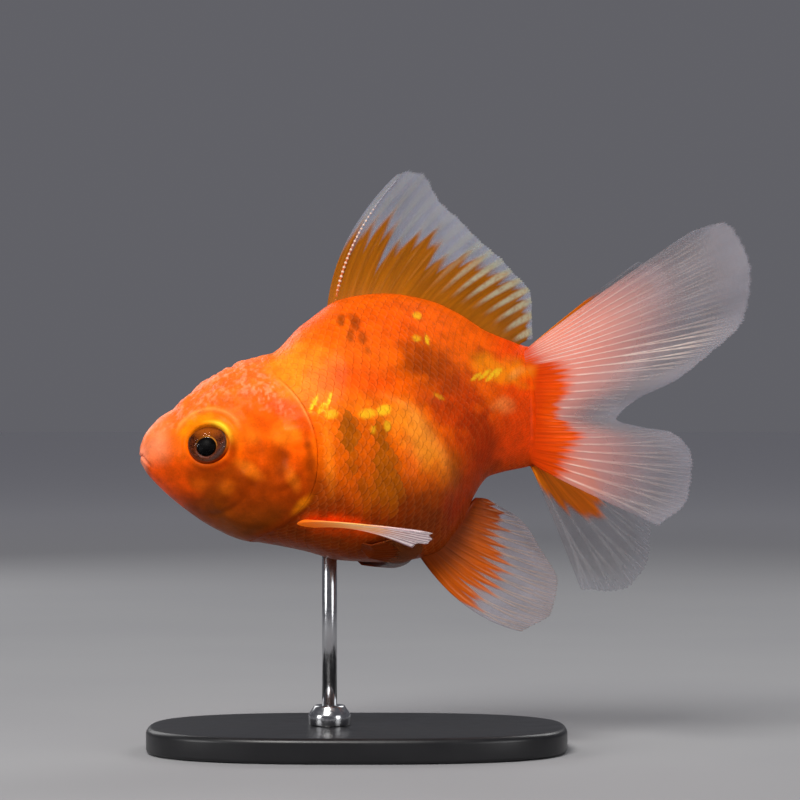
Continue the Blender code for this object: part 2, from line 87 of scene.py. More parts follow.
# --- Skin. Under the coat of scales it lies deeper than on the head ---
HEAD_ROWS, TRUNK_ROWS, WEDGE_ROWS, SKIN_COLUMNS = 112, 120, 8, 300
WEDGE_LENGTH = 3.4 * MM
COAT_DEPTH = 0.3 * MM
HEAD_DEPTH = 0.03 * MM
SLIT_LIP, SLIT_REACH, SLIT_SINK = 0.05 * MM, 2.2 * MM, 0.22 * MM
MOUTH_UP = -11.3  # mm

# --- Scales. Their rows start and end, and grow closer, at these distances from the gill slit ---
COAT_FROM, COAT_TO = 0.5 * MM, 92 * MM
SCALES_ROUND = 52
SCALE_PITCH, TAIL_PITCH = 1.75 * MM, 1.15 * MM
PITCH_SHRINKS_FROM, PITCH_SHRINKS_TO = 24 * MM, 58 * MM
FRONT_COAT_TO, REAR_COAT_TO = 50 * MM, BODY_LENGTH - 0.4 * MM  # how far back
SCALE_LENGTH, SCALE_OVERWIDTH = 1.8, 1.06
SCALE_SIDES, SCALE_RADII = 14, (0.4, 0.72, 0.93, 1.0)
SCALE_THICKNESS = 0.03 * MM
SCALE_KEEL = 0.34 * MM
SCALE_SINK, SCALE_RISE, SCALE_CROWN = -0.03, 0.06, 0.01  # mm
BAKE_PATCH = 0.0015  # half the width of a scale's patch, as a share of the map for baking

# --- Stand, as in the part's source ---
BASE_SIZE = np.array([84, 50, 5]) * MM
BASE_EDGE, BASE_SIDES = 1.2 * MM, 240
COLLAR_RADIUS, COLLAR_HEIGHT = 4.2 * MM, 4.0 * MM
ROD_RADIUS, ROD_AT, ROD_TOP = 1.5 * MM, -5.5 * MM, 41 * MM
FLOOR_REACH = 6.0

# --- Eyes ---
EYE_CENTRE = np.array([12.9, -8.1, -10.1]) * MM
PUPIL_SHIFT = np.array([0.32, -0.68]) * MM
EYE_RADIUS, EYE_FLATNESS = 4.6 * MM, 0.72
EYE_SCALE = 0.965  # of the profiles of its pieces, to fit the photo
EYE_FORWARD, EYE_UP = math.radians(14), math.radians(7)
PUPIL_RADIUS = 2.0 * MM
EYE_TURNS = 72
# In mm: radii at which the halves of the globe meet and the hollow of the iris starts; and the middle of
# the socket, with its fold and the colours round it.
EYE_SEAM, IRIS_LIP = 4.59, 3.9
SOCKET_BACK, SOCKET_UP, FOLD_UP, COLOURS_UP = 12.7, -10.3, -10.2, -10.6


# ---------------------------------------------------------------- curves and pose

def smooth_curve(places, rows):
    """A function through the given rows of values, smooth and with no overshoot between them.

    It gives a row of values for each place, or one value where the rows have only one."""
    x = np.array(places, float)
    y = np.array(rows, float).reshape(len(x), -1)
    step = np.diff(x)[:, None]
    slope = np.diff(y, axis=0) / step
    same = slope[1:] * slope[:-1] > 0
    weight_a, weight_b = 2 * step[1:] + step[:-1], step[1:] + 2 * step[:-1]
    safe = np.where(same, slope[1:] * slope[:-1], 1.0)
    blend = weight_a * np.where(same, slope[1:], 1.0) + weight_b * np.where(same, slope[:-1], 1.0)
    inner = np.where(same, (weight_a + weight_b) * safe / np.where(same, blend, 1.0), 0.0)
    tangent = np.vstack([slope[:1], inner, slope[-1:]])

    def at(place):
        place = np.clip(np.asarray(place, float), x[0], x[-1])
        i = np.clip(np.searchsorted(x, place) - 1, 0, len(x) - 2)
        h = (x[i + 1] - x[i])[..., None]
        t = ((place - x[i])[..., None]) / h
        values = (
            (2 * t**3 - 3 * t**2 + 1) * y[i]
            + (t**3 - 2 * t**2 + t) * h * tangent[i]
            + (3 * t**2 - 2 * t**3) * y[i + 1]
            + (t**3 - t**2) * h * tangent[i + 1]
        )
        return values[..., 0] if y.shape[1] == 1 else values

    return at


def table(rows, scale=MM):
    """A smooth curve from rows of (place in mm, values)."""
    data = np.array(rows, float)
    return smooth_curve(data[:, 0] * MM, data[:, 1:] * scale)


BODY_SHAPE = table(BODY_STATIONS)
BACK_SHAPE = table(BACK_FULLNESS, 1.0)
BELLY_SHAPE = table(BELLY_FULLNESS, 1.0)


def bend_table():
    """The curved axis of the swimming fish: place along it, and the direction there, by distance back."""
    along = np.linspace(-10, 140, 1501) * MM
    share = np.clip((along - BEND_FROM) / (BEND_TO - BEND_FROM), 0, 1)
    turn = TAIL_TURN * share * share * (3 - 2 * share)
    step = along[1] - along[0]
    start = int(round((0 - along[0]) / step))
    x = np.cumsum(np.cos(turn)) * step
    y = np.cumsum(np.sin(turn)) * step
    return along, turn, x - x[start], y - y[start]


BEND = bend_table()


def place(points):
    """Points of the straight fish, put where they are on the posed fish."""
    points = np.asarray(points, float)
    along, turn_at, x_at, y_at = BEND
    turn = np.interp(points[..., 0], along, turn_at)
    x = np.interp(points[..., 0], along, x_at) - points[..., 1] * np.sin(turn) - PIVOT[0]
    y = np.interp(points[..., 0], along, y_at) + points[..., 1] * np.cos(turn) - PIVOT[1]
    z = points[..., 2] - PIVOT[2]
    y, z = y * math.cos(ROLL) + z * math.sin(ROLL), z * math.cos(ROLL) - y * math.sin(ROLL)
    x, y = x * math.cos(YAW) - y * math.sin(YAW), x * math.sin(YAW) + y * math.cos(YAW)
    return np.stack([x, y, z + PIVOT[2] + FISH_HEIGHT], axis=-1)


def evenly(count):
    return np.linspace(0, 1, count)


def mix(a, b, amount):
    return a + (b - a) * amount


def smooth(value, low, high):
    """0 at low and before it, 1 at high and beyond, with an eased way between. low may be above high."""
    share = np.clip((value - low) / (high - low), 0, 1)
    return share * share * (3 - 2 * share)


def bump(value, centre, width):
    """A soft ridge of height 1 at the centre."""
    return np.exp(-(((value - centre) / width) ** 2))


def signed_power(value, power):
    return np.sign(value) * np.abs(value) ** power


def unit(vectors):
    return vectors / np.maximum(np.linalg.norm(vectors, axis=-1, keepdims=True), 1e-12)


def full_turn(count):
    """Angles evenly round a circle, from 0."""
    return 2 * math.pi * np.arange(count) / count


def noise(points, size, seed=0):
    """Soft noise from 0 to 1, with features of the given size, the same on each run."""
    cell = points / size + seed * 17.31
    low = np.floor(cell)
    share = cell - low
    share = share * share * (3 - 2 * share)
    total = 0
    for corner in range(8):
        step = np.array([corner & 1, corner >> 1 & 1, corner >> 2 & 1])
        mixed = np.sin((low + step) @ np.array([127.1, 311.7, 74.7]) + seed) * 43758.5453
        weight = np.prod(np.where(step, share, 1 - share), axis=-1)
        total = total + weight * (mixed - np.floor(mixed))
    return total


# ---------------------------------------------------------------- body surface

def body_point(along, around):
    """The body's surface. around is 0 on the left flank, a quarter turn on the back, half on the right."""
    along, around = np.broadcast_arrays(np.asarray(along, float), np.asarray(around, float))
    back, belly, half_width, widest = np.moveaxis(BODY_SHAPE(along), -1, 0)
    sine, cosine = np.sin(around), np.cos(around)
    fullness = np.where(sine > 0, BACK_SHAPE(along), BELLY_SHAPE(along))
    reach = np.where(sine > 0, back - widest, widest - belly)
    y = -half_width * signed_power(cosine, 2 / fullness)
    z = widest + reach * signed_power(sine, 2 / fullness)
    return np.stack([along, y, z], axis=-1)


def body_normal(along, around):
    ahead, behind = np.clip(along - 0.2 * MM, 0, None), np.clip(along + 0.2 * MM, None, BODY_LENGTH)
    lengthwise = body_point(behind, around) - body_point(ahead, around)
    sideways = body_point(along, around + 0.02) - body_point(along, around - 0.02)
    return unit(np.cross(lengthwise, sideways))


def gill_line(around):
    """How far back the gill slit lies, all the way round the body."""
    sine, cosine = np.sin(around), np.cos(around)
    above = GILL_RISE * (1 - np.abs(cosine) ** 5)
    below = GILL_DROP * np.abs(sine) ** 2.7
    return GILL_REAR - np.where(sine > 0, above, below)


def travelled(points):
    """The distance covered along each row of points, from its first point."""
    way = np.cumsum(np.linalg.norm(np.diff(points, axis=1), axis=-1), axis=1)
    return np.hstack([np.zeros((len(points), 1)), way])


def lookup(grid, row, column):
    """Values from between the entries of a table, by fractional row and column numbers."""
    i = np.minimum(row.astype(int), grid.shape[0] - 2)
    j = np.minimum(column.astype(int), grid.shape[1] - 2)
    u, v = row - i, column - j
    low = mix(grid[i, j], grid[i, j + 1], v)
    high = mix(grid[i + 1, j], grid[i + 1, j + 1], v)
    return mix(low, high, u)


def girth_tables(stations=160, steps=721, shares=361):
    """For each place along the body: its girth, and the angle at each equal share of the way round it.

    The way round starts on the middle of the belly and goes up the left side."""
    along = evenly(stations) * BODY_LENGTH
    angles = np.linspace(-math.pi / 2, 1.5 * math.pi, steps)
    way = travelled(body_point(along[:, None], angles[None]))
    found = np.array([np.interp(evenly(shares), row / row[-1], angles) for row in way])
    return along, way[:, -1], found


GIRTH_ALONG, GIRTH, GIRTH_ANGLE = girth_tables()


def girth(along):
    return np.interp(along, GIRTH_ALONG, GIRTH)


def angle_at(along, share):
    """The angle around the body at a share of the way round it, from the middle of the belly."""
    stations, shares = GIRTH_ANGLE.shape
    row, share = np.broadcast_arrays(np.clip(along / BODY_LENGTH, 0, 1) * (stations - 1), share)
    return lookup(GIRTH_ANGLE, row, np.where(share == 1.0, 1.0, share % 1.0) * (shares - 1))


def gill_line_at(share):
    """How far back the gill slit is at each share of the way round the body there."""
    line = np.full(np.shape(share), GILL_REAR)
    for _ in range(12):
        line = gill_line(angle_at(line, share))
    return line


def way_table(longest=104 * MM, step=0.25 * MM, shares=181, stations=460):
    """For each share of the way round the body: how far back one is at each distance, measured along the
    surface, from the gill slit."""
    share, along = evenly(shares), evenly(stations) * BODY_LENGTH
    points = body_point(along[None], angle_at(np.broadcast_to(along, (shares, stations)), share[:, None]))
    even = np.arange(0, longest, step)
    rows = []
    for way, slit in zip(travelled(points), gill_line_at(share)):
        from_slit = way - np.interp(slit, along, way)
        beyond = along[-1] + np.maximum(even - from_slit[-1], 0)
        rows.append(np.maximum(np.interp(even, from_slit, along), beyond * (even > from_slit[-1])))
    return np.array(rows), step


WAY_BACK, WAY_STEP = way_table()


def back_at(way, share):
    """How far back one is at a distance from the gill slit along the surface."""
    shares, steps = WAY_BACK.shape
    return lookup(WAY_BACK, (share % 1.0) * (shares - 1), np.clip(way / WAY_STEP, 0, steps - 1.001))


# The edge of the swollen belly on the flank: height, and how far back the edge lies there, in mm.
BULGE_EDGE = smooth_curve(
    [-27, -21, -14.4, -11.4, -8.6, -5.8, -3.1, -2.0, 1.5],
    [57.0, 60.0, 60.2, 58.9, 56.9, 54.6, 52.2, 49.9, 45.0],
)


# Round forms of the head, in mm: height, place back and up, how much narrower that way, width.
ROUND_FORMS = [
    (0.40, 5.0, -5.4, 1.0, 1.1, 0.95),  # nostril flap
    (-0.50, 6.2, -6.4, 1.0, 1.0, 0.42),  # nostril pit
    (0.42, 27.4, -8.9, 1.0, 1.0, 2.3),  # bright boss of the gill cover
    (-0.50, 26.3, -14.0, 1.1, 0.8, 1.7),  # hollow under the boss
    (-0.30, 17.6, -14.6, 0.7, 1.0, 2.0),  # cheek, with soft hollows under the eye
    (0.30, 20.5, -16.5, 1.0, 1.2, 1.6),
    (0.22, 16.0, -18.8, 0.9, 1.0, 1.7),
    (-0.20, 13.0, -17.2, 0.6, 1.0, 1.5),
]


def round_eye(a, z):
    """Distances in mm from the middles of the eye socket and of the fold over it, and where the fold is."""
    from_eye = np.hypot(a - SOCKET_BACK, z - SOCKET_UP)
    from_fold = np.hypot(a - SOCKET_BACK, (z - FOLD_UP) * 0.93)
    return from_eye, from_fold, smooth(z, -8.5, -5.5)


def relief(along, around):
    """The height in mm of the small forms of the head and body above the plain body surface."""
    point = body_point(along, around) / MM
    a, z = point[..., 0], point[..., 2]
    up, flank = np.sin(around), np.abs(np.cos(around))
    ahead = (gill_line(around) - along) / MM
    # Eye socket with its rim, and the fold over the eye.
    from_eye, from_fold, folded = round_eye(a, z)
    height = -2.2 * smooth(from_eye, 3.95, 3.2)
    height += 0.42 * bump(from_eye, 4.42, 0.6) * (0.7 + 0.3 * smooth(z, -12, -7))
    height += folded * (0.2 * bump(from_fold, 6.6, 0.42) - 0.16 * bump(from_fold, 5.8, 0.4))
    # Snout, and the groove of the closed mouth between the lips.
    height += (0.45 * bump(a, 3.9, 1.3) - 0.42 * bump(a, 6.4, 1.0)) * smooth(up, 0.35, 0.8)
    height += 0.7 * bump(a, 1.6, 1.9) * smooth(up, -0.2, 0.6)
    mouth = z - MOUTH_UP + 1.5 * np.clip(a, 0, None)
    shown = smooth(a, 2.0, 1.1)
    height += shown * (0.16 * bump(mouth, 0.62, 0.4) + 0.2 * bump(mouth, -0.7, 0.45))
    height -= 0.42 * shown * bump(mouth, 0, 0.17)
    height -= 0.12 * bump(mouth - 0.25 * a, -2.6, 0.35) * smooth(a, 0.8, 1.6) * smooth(a, 6.5, 4.0)
    for rise, back, high, narrow, low, width in ROUND_FORMS:
        height += rise * bump(np.hypot((a - back) * narrow, (z - high) * low), 0, width)
    # Gill cover: its plate, the groove ahead of it, the arc round its hollow, fine spokes; then the jaw.
    on_side = smooth(up, -0.96, -0.8) * smooth(up, 0.82, 0.6)
    height += 0.34 * bump(ahead, 4.6, 3.6) * on_side
    height += (0.05 * bump(ahead, 12.8, 1.0) - 0.16 * bump(ahead, 11.2, 0.9)) * on_side * smooth(up, 0.5, 0.2)
    arc, low_rear = np.hypot(a - 25.6, (z + 13.6) * 0.95), smooth(z, -11, -17) * smooth(a, 22, 28)
    height += (0.24 * bump(arc, 4.7, 0.9) - 0.1 * bump(arc, 6.1, 0.7)) * low_rear
    height += 0.03 * np.sin(np.arctan2(z + 9, a - 20) * 26) * bump(ahead, 3.5, 3.0) * on_side
    height += 0.2 * bump(a - 15.5 + 0.9 * (z + 23.0), 0, 1.4) * smooth(z, -27, -24) * smooth(z, -19, -21)
    # Granular crown.
    crown = smooth(up, 0.35, 0.7) * smooth(a, 4, 9) * smooth(ahead, -0.5, 1.5)
    for size, seed, rise in ((3.2, 4, 1.0), (1.1, 3, 0.45), (0.7, 5, 0.25)):
        height += crown * rise * (noise(point, size, seed) - 0.5)
    # Swollen belly with its edge, and the hollow flank behind it.
    past = a - BULGE_EDGE(z)
    level = smooth(z, -26, -20) * smooth(z, 3.0, -5.0) * smooth(a, 38, 48)
    height += level * (0.22 * bump(past, -1.6, 2.6) - 0.5 * smooth(past, -2.4, 4.2) * smooth(past, 13, 5))
    # Soft unevenness of the flesh.
    body = smooth(ahead, 1, -3) * smooth(a, 80, 70)
    return height + body * 0.28 * (noise(point, 6.5, 8) - 0.5) + 0.1 * (noise(point, 2.6, 9) - 0.5) * flank


def surface(along, around, out):
    """Points of the modelled surface: the body with its relief, moved outwards by out."""
    rise = relief(along, around) * MM + out
    return body_point(along, around) + body_normal(along, around) * rise[..., None]


# ---------------------------------------------------------------- markings

def colour(red, green, blue):
    """A colour given as it looks on a screen, 0 to 255, turned to the renderer's linear values."""
    share = np.array([red, green, blue]) / 255
    return np.where(share <= 0.04045, share / 12.92, ((share + 0.055) / 1.055) ** 2.4)


# The paints of the skin, each as it looks on a screen. Some paint light and shade: the peach one and the
# bright ones on the head are painted highlights, the dark ones under the body and in the head's hollows
# partly painted shade.
PAINT = {
    "back": (246, 94, 0), "flank": (252, 104, 0), "shoulder": (255, 146, 30), "low": (118, 37, 0),
    "belly": (140, 50, 2), "throat": (128, 58, 5), "snout": (255, 140, 92), "crown": (252, 118, 44),
    "grain": (255, 156, 108), "lip": (255, 146, 112), "jaw": (255, 84, 0), "amber": (255, 142, 6),
    "glow": (255, 124, 18), "pale": (255, 168, 84), "gold": (255, 204, 44), "scarlet": (240, 72, 0),
    "crimson": (206, 54, 0), "blood": (164, 36, 0), "umber": (144, 50, 0), "brown": (150, 60, 0),
    "olive": (158, 78, 0), "stalk": (236, 64, 0),
}
PAINT = {name: colour(*levels) for name, levels in PAINT.items()}

# Paint, how far back, how high (mm), half length, half height (mm), lean (degrees), strength, softness.
SOFT_MARKS = [
    # Painted highlights in peach: over the flank behind the head, along the edge of the swollen belly, and
    # lifting its shaded lower rear.
    ("shoulder", 30.5, 4.0, 5.6, 6.4, 30, 0.9, 0.8),
    ("shoulder", 46.0, -4.4, 7.0, 2.8, -12, 0.3, 0.8),
    ("shoulder", 52.5, -8.0, 3.4, 6.5, 30, 0.8, 0.7),
    ("shoulder", 57.6, -14.0, 2.2, 5.8, 30, 0.35, 0.9),
    # Painted shade beside the rear of the eye.
    ("umber", 17.3, -10.6, 0.9, 3.2, 0, 0.75, 0.9),
    ("brown", 39.2, 14.7, 0.8, 1.5, 0, 0.9, 0.5),
    ("brown", 41.9, 14.4, 1.0, 1.8, 8, 1.0, 0.5),
    ("brown", 40.8, 11.5, 0.8, 1.6, -10, 0.85, 0.5),
    ("brown", 43.2, 10.7, 0.9, 1.6, 6, 0.95, 0.5),
    ("brown", 44.0, 8.4, 0.7, 1.2, 0, 0.6, 0.5),
    ("scarlet", 42.5, 1.6, 10.0, 3.4, -10, 0.7, 0.8),
    ("scarlet", 49.0, 13.5, 7.5, 4.5, 0, 0.4, 0.8),
    # These two darken the hollow flank behind the swollen belly: partly its own deeper red and brown, partly
    # painted shade in the hollow.
    ("crimson", 61.0, -2.5, 6.0, 8.0, 25, 0.85, 0.6),
    ("umber", 56.0, 5.2, 6.0, 4.6, -25, 0.8, 0.85),
    ("umber", 66.8, 8.2, 1.8, 1.6, 20, 0.6, 0.7),
    # Deep red low in that hollow: partly its own colour, partly painted shade.
    ("blood", 67.0, -8.5, 3.4, 6.0, 20, 0.8, 0.6),
    ("blood", 62.5, -22.0, 3.5, 5.0, 30, 0.55, 0.6),
    ("olive", 60.8, -15.0, 1.9, 3.6, 10, 0.4, 0.7),
    ("scarlet", 38.5, -27.2, 6.5, 2.2, -8, 0.9, 0.6),
    ("amber", 70.5, 5.5, 5.5, 2.2, -20, 0.8, 0.5),
    ("amber", 75.0, 6.4, 3.0, 2.0, -20, 0.7, 0.7),
    # A painted highlight on the tail stalk.
    ("pale", 75.0, 5.4, 2.2, 0.8, 35, 0.35, 0.6),
    ("pale", 71.8, -1.4, 2.4, 1.6, 0, 0.35, 0.6),
    ("crimson", 74.5, -8.0, 4.0, 5.0, 0, 0.5, 0.7),
    ("amber", 10.5, -6.5, 3.6, 2.8, 20, 0.6, 0.6),
    # A painted highlight above and behind the eye.
    ("glow", 18.4, -6.6, 2.6, 2.8, 0, 0.4, 0.8),
    ("jaw", 6.0, -16.0, 5.6, 4.4, -35, 0.85, 0.6),
    # A darker zone under the eye: partly its own colour, partly painted shade.
    ("umber", 16.0, -17.0, 7.6, 2.9, -8, 0.9, 0.8),
    ("umber", 43.0, -15.0, 6.5, 8.5, 5, 0.4, 0.9),
    # Darker patches on the cheek: partly their own colour, partly painted shade.
    ("umber", 22.5, -12.2, 2.4, 2.0, 0, 0.45, 0.9),
    ("umber", 23.8, -18.6, 2.4, 2.0, 30, 0.5, 0.9),
    # Painted highlights on the bumps of the cheek and jaw.
    ("glow", 20.8, -9.0, 1.6, 1.2, 0, 0.45, 0.9),
    ("glow", 20.6, -15.6, 2.4, 0.9, -35, 0.55, 0.9),
    ("glow", 16.0, -18.8, 1.6, 1.2, 0, 0.3, 0.9),
    ("glow", 11.0, -18.0, 1.4, 1.1, 0, 0.15, 0.9),
    ("glow", 17.0, -25.4, 3.4, 0.6, -22, 0.5, 0.6),
    ("scarlet", 26.5, -3.4, 4.6, 1.7, -32, 0.8, 0.5),
    ("scarlet", 30.8, -6.5, 1.8, 3.4, 30, 0.6, 0.5),
    # Gill cover: a painted highlight on its boss, painted shade in the hollow under it and along its rear
    # edge.
    ("glow", 27.4, -8.9, 2.6, 2.2, 0, 0.9, 0.6),
    ("umber", 26.3, -14.2, 1.9, 2.6, 0, 0.9, 0.6),
    ("umber", 31.9, -14.6, 0.9, 4.2, 4, 0.85, 0.6),
    ("umber", 24.0, -22.2, 4.6, 2.4, -20, 0.5, 0.7),
    # Painted highlights on the arc below the boss and on the cover's lower rim.
    ("glow", 28.6, -17.2, 0.9, 2.2, 22, 0.6, 0.8),
    ("amber", 30.6, -22.4, 2.0, 0.7, 42, 0.55, 0.8),
    # A narrow painted highlight behind the gill cover.
    ("shoulder", 35.6, -12.6, 0.9, 6.5, 4, 0.3, 0.8),
]
# Marks that take in whole scales.
SCALE_MARKS = [
    ("olive", 38.6, -8.6, 1.9, 4.4, 8, 0.85, 0.3),
    ("olive", 39.3, -15.4, 1.2, 2.6, 0, 0.5, 0.3),
    ("olive", 45.2, -9.6, 1.5, 3.6, 4, 0.8, 0.3),
    ("olive", 46.2, -17.6, 2.9, 7.0, 6, 0.85, 0.3),
    ("olive", 42.4, -21.4, 2.2, 4.0, 10, 0.5, 0.4),
]
# Bright gold flecks, painted glints of the reflecting scales: how far back and how high, half length, half
# height (mm), lean (degrees), strength.
GLINTS = [
    (32.9, -3.0, 1.9, 0.32, 66, 1.0),
    (34.3, -4.0, 1.3, 0.34, 62, 0.8),
    (35.9, -2.4, 1.9, 0.30, 70, 1.0),
    (36.3, -5.3, 1.3, 0.9, 20, 0.6),
    (43.4, -5.2, 1.8, 0.9, 5, 0.75),
    (46.6, -4.4, 1.4, 0.9, 25, 0.95),
    (47.2, -7.6, 0.6, 1.0, 0, 0.6),
    (44.4, -8.4, 0.5, 0.8, 0, 0.5),
    (54.6, 16.2, 0.8, 0.8, 0, 0.75),
    (53.9, 10.9, 0.8, 0.7, 0, 0.6),
    (55.9, 10.7, 0.35, 1.1, 0, 1.0),
    (65.9, 3.9, 1.6, 0.34, 38, 0.9),
    (67.7, 4.4, 1.8, 0.36, 42, 1.0),
    (69.5, 4.6, 2.0, 0.38, 45, 1.0),
    (71.1, 5.3, 1.4, 0.3, 50, 0.8),
    (57.6, -1.0, 1.2, 0.4, -30, 0.4),
]
OTHER_SIDE_SHIFT = 1.6, -1.1


def mark_reader(point, left):
    """A function that says how far a mark covers each point, 0 to 1.

    On the right side the marks lie a little otherwise."""
    wobble = 2 * (noise(point, 1.7, 21) - 0.5)
    a, z = (point[..., k] - np.where(left, 0.0, shift) for k, shift in zip((0, 2), OTHER_SIDE_SHIFT))

    def cover(form, softness, raggedness=0.35):
        back, high, half_length, half_height, lean = form
        sine, cosine = math.sin(math.radians(lean)), math.cos(math.radians(lean))
        u, v = a - back, z - high
        along, upward = (u * cosine + v * sine) / half_length, (v * cosine - u * sine) / half_height
        return smooth(np.hypot(along, upward) + wobble * raggedness, 1 + softness, 1 - softness)

    return cover


def markings(along, around, scale_along=None, scale_around=None):
    """The colour of the skin, with painted highlights and shade in it, and how much of it is bright gold (the
    flecks of it painted glints), at each place.

    Marks that take in whole scales are read at the scale's own place where one is given."""
    point = body_point(along, around) / MM
    a, z = point[..., 0], point[..., 2]
    up = np.sin(around)
    cover = mark_reader(point, np.cos(around) > 0)
    ahead = (gill_line(around) - along) / MM
    uneven = noise(point, 4.0, 31) - 0.5
    on_head = smooth(ahead, -1, 3)
    # Layers of paint, each with how much of it there is.
    layers = [
        ("back", smooth(up, 0.2, 0.8)),
        # Darker towards the bottom: partly the body's own colour, partly painted shade of the underside.
        ("low", smooth(up + 0.25 * uneven, 0.06, -0.6) * 0.95),
        ("crimson", smooth(a, 56, 66) * smooth(z, 10, -8) * 0.55),
        ("stalk", smooth(a, 67, 74.5) * 0.9),
        ("scarlet", on_head * smooth(up, 0.75, 0.3) * smooth(a, 14, 22) * 0.55),
        # The lower head darker in the same way: partly its own colour, partly painted shade.
        ("umber", on_head * smooth(z + 2 * uneven, -13.5, -20) * smooth(a, 7, 14) * 0.75),
    ]
    for paint, *form, strength, softness in SOFT_MARKS:
        layers.append((paint, cover(form, softness) * strength * (1 + 0.5 * uneven)))
    # Belly and throat darker still: partly their own colour, partly painted shade of the underside.
    under = smooth(up + 0.12 * uneven, -0.72, -0.97) * (1 - 0.4 * smooth(a, 58, 66)) * smooth(a, 5, 12)
    throat = on_head * smooth(up + 0.15 * uneven, -0.42, -0.9) * smooth(a, 8, 17)
    layers += [("belly", under), ("throat", throat * 0.9)]

    # Head: pink lips and snout, granular crown, the yellow crescent and pale fold over the eye.
    crown = smooth(up, 0.3, 0.75) * smooth(ahead, -0.5, 2.0)
    grains = smooth(noise(point, 1.1, 3) + 1.1 * (noise(point, 0.45, 41) - 0.5), 0.45, 1.0)
    grain_reach = crown + 0.8 * cover((23.5, -1.4, 5.0, 2.4, -30), 0.5)
    from_eye, from_fold, folded = round_eye(a, z)
    bearing = np.degrees(np.arctan2(z - COLOURS_UP, a - SOCKET_BACK))
    crescent = bump(from_eye, 4.35, 0.5) * bump(bearing, 54, 27)
    past_bulge = a - BULGE_EDGE(z)
    layers += [
        ("snout", smooth(a, 6.5, 3.0) * smooth(z, -15, -10) * 0.8),
        ("lip", smooth(a, 1.5, 0.3) * 0.75),
        ("crown", crown * 0.6),
        # The pale grains sit on the crests of the crown's lumps: partly its own pale granules, partly painted
        # highlights on the crests.
        ("grain", np.clip(grains * grain_reach, 0, 1) * 0.6),
        # A painted pink sheen along the top of the head.
        ("snout", smooth(up, 0.86, 1.0) * smooth(a, 27, 20) * 0.5),
        ("amber", bump(from_eye, 5.0, 1.0) * bump(bearing, 52, 44) * 0.5),
        ("crimson", bump(from_eye, 4.8, 0.8) * bump(bearing, -40, 45) * 0.5),
        ("pale", bump(from_fold, 6.6, 0.4) * folded * 0.45),
        ("pale", bump(ahead, 0.2, 0.24) * smooth(up, 0.08, 0.3) * smooth(up, 0.72, 0.5) * 0.45),
        ("gold", np.clip(1.2 * crescent, 0, 1)),
        # A painted highlight along the edge of the swollen belly.
        ("pale", bump(past_bulge, -1.6, 1.2) * smooth(z, -18, -12) * smooth(z, 0, -2.5) * 0.15),
    ]
    if scale_along is None:
        scale_along, scale_around = along, around
    scale_cover = mark_reader(body_point(scale_along, scale_around) / MM, np.cos(scale_around) > 0)
    for paint, *form, strength, softness in SCALE_MARKS:
        layers.append((paint, scale_cover(form, softness, 0.2) * strength))

    tint = np.broadcast_to(PAINT["flank"], a.shape + (3,))
    for paint, amount in layers:
        tint = mix(tint, PAINT[paint], amount[..., None])
    gold = 0.75 * crescent
    # The flecks are painted glints.
    for *form, strength in GLINTS:
        gold = np.maximum(gold, strength * cover(form, 0.35, 0.2))
    return tint, gold


# ---------------------------------------------------------------- meshes

def build_mesh(name, points, faces, finish, slot=None, values=(), outward=False):
    """A smooth mesh object from points and a list of face arrays, each with one number of corners.

    With a slot it rides on the body. Values are fields by name, with a number or a colour for each point."""
    mesh = bpy.data.meshes.new(name)
    points = np.asarray(points, np.float32).reshape(-1, 3)
    faces = [np.asarray(group, np.int32) for group in faces]
    corners = np.concatenate([group.ravel() for group in faces])
    counts = np.concatenate([np.full(len(group), group.shape[1]) for group in faces])
    mesh.vertices.add(len(points))
    mesh.vertices.foreach_set("co", points.ravel())
    mesh.loops.add(len(corners))
    mesh.loops.foreach_set("vertex_index", corners)
    mesh.polygons.add(len(counts))
    mesh.polygons.foreach_set("loop_start", np.concatenate([[0], np.cumsum(counts)[:-1]]))
    mesh.update(calc_edges=True)
    mesh.validate()
    if outward:
        shape = bmesh.new()
        shape.from_mesh(mesh)
        bmesh.ops.recalc_face_normals(shape, faces=shape.faces)
        shape.to_mesh(mesh)
        shape.free()
    mesh.shade_smooth()
    for key, field in dict(values).items():
        field = np.asarray(field, np.float32)
        if field.ndim == 2:
            field = np.hstack([field, np.ones((len(field), 1), np.float32)])
            mesh.attributes.new(key, "FLOAT_COLOR", "POINT").data.foreach_set("color", field.ravel())
        else:
            mesh.attributes.new(key, "FLOAT", "POINT").data.foreach_set("value", field)
    mesh.materials.append(finish)
    obj = bpy.data.objects.new(name, mesh)
    bpy.context.scene.collection.objects.link(obj)
    if slot:
        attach(obj, BODY)
    return obj


def put_map(mesh, name, places):
    """Stores a UV map given by a place for each vertex."""
    corner = np.zeros(len(mesh.loops), np.int32)
    mesh.loops.foreach_get("vertex_index", corner)
    layer = mesh.uv_layers.new(name=name)
    layer.data.foreach_set("uv", np.asarray(places, np.float32)[corner].ravel())


def grid_faces(rows, columns, closed=False, start=0):
    """Four-cornered faces of a grid of points, whose rows may be closed rings."""
    i = np.arange(rows - 1)[:, None]
    j = np.arange(columns if closed else columns - 1)[None]
    k = (j + 1) % columns
    a, b = i * columns + j, (i + 1) * columns + j
    c, d = (i + 1) * columns + k, i * columns + k
    return start + np.stack([a, b, c, d], axis=-1).reshape(-1, 4)


def fan_faces(ring, centre, flip=False):
    after = np.roll(ring, -1)
    pair = (after, ring) if flip else (ring, after)
    return np.stack([np.full(len(ring), centre), *pair], axis=-1)


def ring_faces(rows, columns, ends=None, start=0):
    """Faces over closed rings of points, with a fan to an end point on each end, listed last unless given."""
    size = rows * columns
    first, last = ends or (size, size + 1)
    ring = start + np.arange(columns)
    fans = [fan_faces(ring, first), fan_faces(ring + size - columns, last, flip=True)]
    return [grid_faces(rows, columns, closed=True, start=start), np.concatenate(fans)]


# ---------------------------------------------------------------- materials

